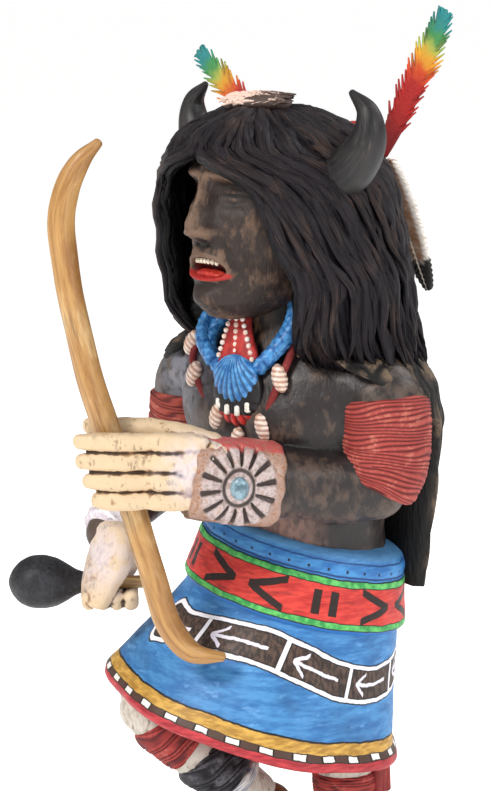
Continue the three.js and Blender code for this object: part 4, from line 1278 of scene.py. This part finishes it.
def make_legs():
    bare, garters, fur, trim, shoes = Form(), Form(), Form(), Form(), Form()
    knobbly = lambda s, a: 0.02 * np.sin(a * 3 + s * 9) + 0.012 * np.sin(a * 7 + s * 31)
    for stops, up in (([[19, 2, 118, 16, 16], [24, 2, 84, 13.2, 13.2], [25, 1, 66, 12, 12],
                        [25.6, 3, 50, 12, 12], [26, 4, 30, 11, 11], [26, 4, 12, 9.5, 9.5]], BACK),
                      ([[-16, -6, 112, 17, 17], [-27, -30, 93, 14.5, 14.5],
                        [-38, -47, 81, 11.6, 11.6]], UP),
                      ([[-38, -47.5, 81.5, 10.8, 10.8], [-32.5, -45, 75, 10.2, 10.2],
                        [-20, -32, 59, 11, 11], [-8, -13, 40, 9.2, 9.2]], UP)):
        bare.tube(limb(curved(stops, 16), up, 2, 56, knobbly))
    wound(garters, [[25.4, 2.4, 55.6, 12.4, 12.4], [25.4, 2.5, 54.5, 13.4, 13.4],
                    [25.7, 3, 46.5, 13.2, 13.2],
                    [25.8, 3.1, 45.4, 12.2, 12.2]], BACK, pitch=2.2, depth=0.06, slant=3)
    for lean in (-1, 0, 1):
        tassel = [[36.5, 6 + lean, 68, 1.6, 1.6], [38.6, 8 + 2 * lean, 60, 2.2, 2.2],
                  [39, 9 + 3 * lean, 47, 1.7, 1.7]]
        garters.tube(limb(curved(tassel, 8), BACK, 2, 12), wrap=0.6)
    wound(garters, [[-32, -44.8, 74.2, 10.8, 10.8], [-31.5, -44.5, 73.2, 11.8, 11.8],
                    [-24, -37, 64.6, 11.8, 11.8],
                    [-23.2, -36.2, 63.8, 11, 11]], UP, pitch=2.2, depth=0.06, slant=3)
    wound(fur, [[-21, -33, 60.4, 11.6, 11.6], [-20, -32, 59, 13, 13], [-14.6, -23, 51.4, 13, 13],
                [-14, -22, 50.5, 11.8, 11.8]], UP, pitch=3.4, depth=0.1, slant=9)
    wound(fur, [[26, 4, 25, 12.6, 12.6], [26, 4, 23.6, 14.4, 14.4], [26, 4, 16, 14.6, 14.6],
                [26, 4, 14.6, 13, 13]], BACK, pitch=3.4, depth=0.1, slant=9)
    wound(trim, [[-13.6, -21.4, 49.8, 11.6, 11.6], [-12.8, -20.2, 48.2, 11.9, 11.9],
                 [-12, -19, 46.8, 11, 11]],
          UP, pitch=1.6, depth=0.05)
    wound(trim, [[26, 4, 28, 11.6, 11.6], [26, 4, 26.8, 13, 13], [26, 4, 25, 12.6, 12.6]], BACK,
          pitch=1.6, depth=0.05)
    for stops, power in (([[26, 16, 9.5, 8.5, 9], [26, 4, 10.5, 9.2, 10.3], [25, -12, 8, 10.2, 8],
                           [23, -27, 6, 9.6, 6], [21.5, -36, 4.6, 6.6, 4.6]], 2.6),
                         ([[-4, -7, 38, 8.6, 8.4], [-8, -13, 24, 9.4, 8.4], [-12, -21, 11, 9.8, 7.4],
                           [-16, -31, 6.2, 8.6, 5.8], [-18, -37, 4.8, 6, 4.4]], 2.4)):
        rings = limb(curved(stops, 16), UP, power, 56)
        rings[..., 2] = np.maximum(rings[..., 2], -FIT_GAP + 0.1)
        shoes.tube(rings)
    finish_piece("legs", bare, worn_wood("leg_paint", "c3bcb2", "93806c", "4b423b", 0.5, 0.5))
    finish_piece("garters", garters, yarn_paint("garter_yarn", "9c3430", "56191a", "b3645a"))
    finish_piece("fur_cuffs", fur, yarn_paint("fur_cuff", "37363c", "131216", "6a6970"))
    finish_piece("ankle_trim", trim, yarn_paint("ankle_trim", "e4e1dd", "6f7f95", "b8b2aa"))
    finish_piece("moccasins", shoes, worn_wood("moccasin_paint", "6e4529", "9a6c45", "2e1a10", 0.5))


# Necklace

def make_necklace():
    strands, bib, shells, whites = Form(), Form(), Form(), Form()
    for sign, path in ((1, [[14, -13, 247], [17.5, -20, 238], [16.5, -26.5, 230], [11, -31.5, 221.5]]),
                       (-1, [[-17, -12, 243], [-23, -20, 234], [-21, -27, 226], [-12, -32, 219]])):
        for lane in (-2.4, 2.4):
            stops = [[x + lane * 0.85, y - 0.8, z + lane * 0.75 * sign, 2.7, 3.0] for x, y, z in path]
            ribs = lambda share, angle: 0.05 * np.sin(share * 70 + np.sin(angle * 3))
            strands.tube(limb(curved(stops, 16), UP, 2.2, 18, ribs), flute=0.0)
    patch = curved([[-4, -26.5, 240, 4.2, 2.6], [-3, -29.5, 232, 6.4, 2.6], [-1, -32.2, 222, 10, 2.8]], 10)
    bib.tube(limb(patch, -BACK, 2.4, 28))
    for column, lean in ((-1, -0.36), (0, 0), (1, 0.36)):
        for k in range(7):
            x = -3 + column * 3.2 + lean * k * 2.3 + k * 0.3
            spot = (x, -31.2 - k * 0.45, 237.5 - k * 2.4)
            whites.tube(ball(spot, (1.0, 1.0, 1.1), 8, 5), flute=0.1 * abs(column))
    spots = [(-33, -22.5, 224, 0.5), (-25, -30.5, 213.5, 0.4), (19, -22.5, 229, -0.5), (19, -32, 217, -0.3),
             (13, -34.6, 198, -0.3), (1, -35, 191, 0.1), (-9.5, -34.8, 199.5, 0.3)]
    for x, y, z, tilt in spots:
        rings = ball((0, 0, 0), (3.2, 2.7, 5.6), 22, 30)
        flute = 0.5 + 0.5 * np.cos(rings[..., 2] * 3.1 + rings[..., 0] * 0.9)
        rings[..., :2] *= (0.95 + 0.09 * flute)[..., None]
        c, s = math.cos(tilt), math.sin(tilt)
        lean = rings[..., 0] * c + rings[..., 2] * s
        rings[..., 2] = rings[..., 2] * c - rings[..., 0] * s
        rings[..., 0] = lean
        # The flute value is high in the grooves of each shell, where plain_paint lays painted shade.
        shells.tube(rings + np.array([x, y, z]), flute=1 - flute)
    cord = Form()
    for path in ([[19, -20, 236], [20, -27, 225], [19, -31.5, 217], [15, -33, 206], [12, -33.5, 199]],
                 [[-28, -20, 231], [-31, -24, 220], [-25, -29.5, 213], [-17, -32.5, 205],
                  [-10, -33.5, 199]]):
        cord.tube(limb(curved([p + [1.5, 1.5] for p in path], 14), UP, 2, 12), wrap=0.6)
    fan = ball((0, 0, 0), (10.6, 4.2, 9.6), 96, 60)
    swing = np.arctan2(fan[..., 0], 11.5 - fan[..., 2])
    flutes = np.cos(swing * 34) * np.clip(-fan[..., 1] / 2, 0, 1)
    fan[..., 1] -= 0.32 * flutes
    fan[..., 2] *= 1 + 0.02 * flutes
    # The flute value is high between the fan's ridges, where plain_paint lays painted shade.
    pendant = Form().tube(fan + np.array([-0.2, -34.6, 214.8]), flute=0.5 - 0.4 * flutes)
    rim = ball((0, 0, 0), (11.8, 4.0, 13.0), 120, 50)
    spread = (rim[..., 0] / 11.8) ** 2 + (rim[..., 2] / 13.0) ** 2
    rim[..., 1] = np.sign(rim[..., 1]) * 3.6 * np.sqrt(np.clip(1 - spread ** 3, 0, 1))
    swing = np.arctan2(rim[..., 0], -rim[..., 2] + 1e-6)
    lobes = np.cos(swing * 9)
    low = np.clip(-rim[..., 2] / 5, 0, 1)
    rim[..., 2] -= 0.7 * np.abs(lobes) * low
    rim[..., 1] -= 0.5 * np.abs(lobes) * low
    # The flute value is high in the notches between the lobes, where the rim paint lays painted shade.
    scallops = Form().tube(rim + np.array([0, -33.2, 210.2]), flute=0.6 * (1 - np.abs(lobes)) * low,
                           rise=rim[..., 2])
    chips = Form()
    for x, z in ((-7.4, 205), (-2.6, 203.2), (2.4, 203.2), (7.0, 205)):
        depth = -37.0 + 0.014 * x * x
        chips.tube(limb([[x, depth, z - 1.4, 1.2, 1.0], [x, depth, z + 1.4, 1.1, 1.0]], BACK, 3, 16))
    paint = Paint("pendant_rim", 0.45, 0.15)
    rise = paint.value("rise") + (paint.noise(2) - 0.5) * 0.6
    shade = paint.mix("a31c1d", "cf3328", paint.noise(2.5, 3).over(0.5, 0.15))
    # Painted shade: dark red in the notches between the rim's scallops.
    shade = paint.mix(shade, "5e1214", paint.value("flute").over(0.3, 0.15) * 0.8)
    shade = paint.mix(shade, "121013", rise.over(-8.4, 0.2))
    rim_paint = paint.done(shade)
    blue = plain_paint("blue_strands", "1f5590", "4b8fca", "101a2c", 2.2, 0.4)
    finish_piece("necklace_strands", strands, blue)
    red = plain_paint("red_bib", "8f1f20", "b5342f", "4f1012", 2.4, 0.55)
    finish_piece("necklace_bib", bib, red)
    shell = plain_paint("shell_beads", "e9dace", "d9b29c", "8f6858", 2.2, 0.35, 0.3)
    finish_piece("necklace_shells", shells, shell)
    white = plain_paint("white_beads", "e8ded8", "d9b7a2", "7f5b4d", 1.6, 0.35, 0.1)
    finish_piece("necklace_beads", whites, white)
    finish_piece("necklace_cord", cord, yarn_paint("cord_yarn", "8c2a2a", "4c1415", "a4574e"))
    blue = plain_paint("blue_fan", "2c6fb0", "5a9bd2", "173a66", 3, 0.4, 0.2)
    finish_piece("pendant_fan", pendant, blue)
    finish_piece("pendant_rim", scallops, rim_paint)
    white = plain_paint("white_chips", "f2efe8", "dcd5c8", "8f8577", 2, 0.35)
    finish_piece("pendant_chips", chips, white)


# Horns, bow and rattle

def length_of(rings):
    middles = rings.mean(1)
    return np.concatenate([[0], np.cumsum(np.linalg.norm(np.diff(middles, axis=0), axis=1))])


def make_horns():
    path = [[28, 1.8, 290], [30, 2, 291], [42, 3, 296], [50.2, 3.5, 306.5], [50.4, 3.2, 316.5],
            [42.5, 2.6, 323.5]]
    material = horn_paint()
    for side, name in ((1, "horn_left"), (-1, "horn_right")):
        rows = []
        for i, (x, y, z) in enumerate(path):
            share = max(0, i - 1) / (len(path) - 2)
            rows.append([side * x, y, z] + [HORN_ROOT + (HORN_TIP - HORN_ROOT) * share ** 1.35] * 2)
        rows = curved(head(rows), 26)

        def rings_relief(share, angle):
            near = np.clip(1 - share * 2.2, 0, 1)
            ribs = 0.035 * near * np.sin(share * 95 + 0.6 * np.sin(angle * 2))
            return ribs + 0.012 * np.sin(5 * angle + share * 8)
        rings = limb(rows, BACK, 2, 48, rings_relief)
        around = np.cos(full_turn(48))[None, :] * 2
        form = Form().tube(rings, along=length_of(rings), around=around)
        finish_piece(name, form, material, [name])


BOW = [[-23.8, -84, 306], [-30, -89, 297], [-34.2, -92.6, 281], [-33, -91.7, 258], [-27.5, -87, 222],
       [-19.5, -80.4, 188], [-11.5, -73.6, 153], [-5.5, -68.5, 126], [1.5, -62.6, 114], [10.5, -55.2, 112]]


def make_bow():
    rows = []
    for i, place in enumerate(BOW):
        taper = abs(2 * i / (len(BOW) - 1) - 1) ** 5
        rows.append(place + [BOW_RADIUS - (BOW_RADIUS - BOW_TIP_RADIUS) * taper] * 2)
    rows = curved(rows, 22)
    whittled = lambda s, a: 0.03 * np.sin(4 * a + s * 21) + 0.02 * np.sin(a + s * 60)
    rings = limb(rows, BACK, 2.2, 36, whittled)
    finish_piece("bow", Form().tube(rings, along=length_of(rings), around=np.cos(full_turn(36))[None, :] * 2),
                 bow_paint(), ["bow"])


def long_axis(node):
    """The middle, the long direction and the half-length of a node's mesh, in the grid."""
    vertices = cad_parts[node].data.vertices
    points = np.array([v.co[:] for v in vertices]) * 1000
    points[:, 2] -= LIFT
    middle = (points.max(0) + points.min(0)) / 2
    _, _, ways = np.linalg.svd(points - points.mean(0), full_matrices=False)
    reach = (points - middle) @ ways[0]
    middle = middle + ways[0] * (reach.max() + reach.min()) / 2
    return middle, ways[0], (reach.max() - reach.min()) / 2


def make_rattle():
    stick_middle, stick_way, stick_half = long_axis("rattle_stick")
    ends = [stick_middle - stick_way * stick_half * 0.97, stick_middle + stick_way * stick_half * 0.97]
    rows = eased([list(p) + [STICK_RADIUS * 0.97] * 2 for p in ends], 1)
    rings = limb(rows, UP, 2, 28, lambda s, a: 0.05 * np.sin(3 * a + s * 12), cap=0.3)
    finish_piece("rattle_stick", Form().tube(rings, along=length_of(rings) + 40,
                                             around=np.cos(full_turn(28))[None, :] * 2),
                 bow_paint(), ["rattle_stick"])
    middle, way, half = long_axis("rattle_gourd")
    if np.dot(stick_middle - middle, way) > 0:
        way = -way
    share = np.array([0, 0.03, 0.12, 0.24, 0.38, 0.55, 0.72, 0.86, 0.95, 0.99, 1.0])
    width = np.array([3.6, 4.2, 4.8, 7.2, 9.6, 10.8, 10.4, 8.2, 5.0, 2.2, 0.6])
    rows = [list(middle + way * half * (2 * s - 1)) + [w, w] for s, w in zip(share, width)]
    rings = limb(eased(rows, 0.7, 6), UP, 2, 64, lambda s, a: 0.012 * np.sin(5 * a + s * 9), cap=0)
    finish_piece("rattle_gourd", Form().tube(rings), gourd_paint(), ["rattle_gourd"])


# Feathers, knot and crown tuft

def feather_frame(x, y, z, dx, dy, dz):
    root = head([[x, y, z]])[0]
    tip = head([[x + dx, y + dy, z + dz]])[0]
    along = (tip - root) / np.linalg.norm(tip - root)
    across = np.cross(BACK, along)
    across /= np.linalg.norm(across)
    return root, along, across, np.cross(along, across)


def make_dyed_feathers():
    material = dyed_feather_paint()
    for name, place in (("feather_left", (27, 32.5, 299, 0.52, 0.1, 1)),
                        ("feather_right", (-30.5, 28, 297, -1.25, -0.02, 1))):
        root, along, across, out = feather_frame(*place)
        form = Form()
        t = np.linspace(0, 1, 26)
        bend = 1.2 * np.sin(np.pi * t)
        spine = root + along * (FEATHER_LENGTH * t)[:, None] + out * bend[:, None]
        core = np.clip(np.sin(np.pi * np.minimum(1, 0.12 + 0.88 * t) ** 0.9), 0, 1) ** 0.6
        rows = np.column_stack([spine, 0.9 + FEATHER_WIDTH / 2 * 0.5 * core, 0.9 - 0.4 * t])
        form.tube(limb(rows, out, 2, 20), share=capped(t), tone=0.3)
        shaft = np.column_stack([spine + out * 0.5, 1.0 - 0.6 * t, 1.0 - 0.6 * t])
        form.tube(limb(shaft, out, 2, 10), share=capped(t), tone=0.8)
        for k in range(FEATHER_BARBS):
            at = 0.05 + 0.86 * k / (FEATHER_BARBS - 1)
            half = FEATHER_WIDTH / 2 * math.sin(math.pi * min(1, 0.1 + 0.9 * at) ** 0.9) ** 0.6
            for side in (-1, 1):
                s = np.linspace(0, 1, 7)
                climb = 0.15 * s ** 1.2
                reach = half * (0.92 + draws.uniform(-0.16, 0.18))
                line = (root + along * (FEATHER_LENGTH * np.minimum(at + climb, 0.995))[:, None]
                        + across * (side * reach * s)[:, None] + out * (1.2 * np.sin(np.pi * at) + 0.3)
                        * np.ones((7, 1)) - out * (0.6 * s)[:, None])
                rows = np.column_stack([line, 1.45 * (1 - 0.8 * s), 0.85 * (1 - 0.5 * s)])
                tone = draws.uniform(0, 1) ** 2
                share = np.minimum(at + climb, 1)
                form.tube(limb(rows, out, 2, 8), share=capped(share), tone=tone)
        finish_piece(name, form, material, [name])


def make_hanging_feathers():
    material = eagle_feather_paint()
    for name, place in (("feather_hanging_left", (18.5, 44, 295, 0.06, 0.36, -1)),
                        ("feather_hanging_middle", (0, 50, 297, 0, 0.32, -1)),
                        ("feather_hanging_right", (-18.5, 44, 295, -0.06, 0.36, -1))):
        root, along, across, out = feather_frame(*place)
        form = Form()
        t = np.linspace(0, 1, 110)
        swell = np.clip(np.sin(np.pi * np.minimum(1, 0.06 + 0.93 * t) ** 0.85), 0, 1)
        half = 0.6 + HANGING_WIDTH / 2 * swell ** 0.55
        side = np.concatenate([np.linspace(-1, 1, 24), np.linspace(1, -1, 24)[1:-1]])
        face = np.concatenate([np.ones(24), -np.ones(22)])
        barb = 0.22 * np.sin(t[:, None] * 150 - np.abs(side)[None, :] * 7)
        notch = 1 + 0.05 * np.sin(t[:, None] * 150 - 7) * (np.abs(side)[None, :] > 0.9)
        thick = 1.2 * np.sqrt(np.maximum(1 - side ** 2, 0)) + 0.25
        thick = thick[None, :] * face[None, :] + barb * face[None, :]
        curl = 2.2 * t[:, None] ** 2
        rings = (root + along * (HANGING_LENGTH * t)[:, None, None]
                 + across * (half[:, None] * side[None, :] * notch)[..., None]
                 + out * (thick + curl)[..., None])
        form.tube(rings, share=t, side=side[None, :])
        spine = root + along * (HANGING_LENGTH * t)[:, None] + out * (1.0 + 2.2 * t ** 2)[:, None]
        form.tube(limb(np.column_stack([spine, 0.9 - 0.5 * t, 0.9 - 0.5 * t])[::4], out, 2, 10),
                  share=0.1, side=0.0)
        finish_piece(name, form, material, [name])


def make_knot():
    form = Form()
    wound(form, head([[-19, 39, 300.5, 4.6, 4.8], [-10, 42.5, 302.4, 5, 5.4], [0, 44, 303.5, 5.6, 6],
                      [10, 42.5, 302.4, 5, 5.4], [19, 39, 300.5, 4.6, 4.8]]), UP,
          pitch=2.0, depth=0.1, slant=2)
    finish_piece("feather_knot", form, yarn_paint("knot_yarn", "b23431", "661a1b", "cf6e60"),
                 ["feather_knot"])


def make_crown_tuft():
    form = Form()
    mound = limb(curved(head([[-8, -14, 317, 3.2, 2], [-3, -10, 318.2, 5.6, 3.6], [4, -4, 318.6, 6.4, 3.6],
                              [9, 0, 317.8, 4.8, 3]]), 8), UP, 2, 28)
    form.tube(mound, tone=0.9)
    for k in range(TUFT_STROKES):
        s, v = draws.uniform(0, 1), draws.uniform(-1, 1)
        x, y = -8 + 17 * s, -13 + 13.5 * s
        x, y = x - v * 4.0, y + v * 4.8
        high = 318.6 + 3.8 * (1 - v * v) * math.sin(math.pi * (0.2 + 0.6 * s)) ** 0.5
        length = draws.uniform(4, 8)
        lean = draws.normal(0, 0.35)
        start = np.array([x, y, high])
        way = np.array([math.cos(0.7 + lean), math.sin(0.7 + lean), draws.uniform(-0.1, 0.25)])
        half, sink = way * length / 2, np.array([0, 0, 0.7])
        ends = head([list(start - half - sink) + [0.5, 0.4], list(start) + [1.0, 0.8],
                     list(start + half - sink) + [0.4, 0.3]])
        form.tube(limb(curved(ends, 3), UP, 2, 6), tone=float(s * 0.85 + draws.uniform(-0.2, 0.2)))
    material = strokes_paint("tuft_paint", "dcbfb0", "4d3d37", "1d1614")
    finish_piece("crown_tuft", form, material, ["crown_tuft"])


def make_base():
    low, high = [np.array(corner) * 1000 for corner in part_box("base")]
    x, y = (low[:2] + high[:2]) / 2
    radius = (high[0] - low[0]) / 2
    top = high[2] - LIFT
    bottom = low[2] - LIFT
    edge = 3.0
    turn = np.linspace(0, np.pi / 2, 8)
    rows = [[bottom, radius * 0.5, radius * 0.5, x, y], [bottom, radius - 1.2, radius - 1.2, x, y],
            [bottom + 1.2, radius, radius, x, y]]
    rows += [[top - edge + edge * math.sin(a), radius - edge + edge * math.cos(a),
              radius - edge + edge * math.cos(a), x, y] for a in turn]
    rows += [[top, radius * 0.5, radius * 0.5, x, y]]
    finish_piece("base", Form().tube(stack(rows, full_turn(180))), base_paint(), ["base"])


add_camera()
add_studio()
HAIR = hair_paint()
make_base()
make_body()
make_hands()
make_arm_bands()
make_bow_guard()
make_bracelet()
make_face()
make_teeth()
make_hood_shell()
make_hair()
make_mantle()
make_kilt()
make_sash()
make_legs()
make_necklace()
make_horns()
make_bow()
make_rattle()
make_dyed_feathers()
make_hanging_feathers()
make_knot()
make_crown_tuft()
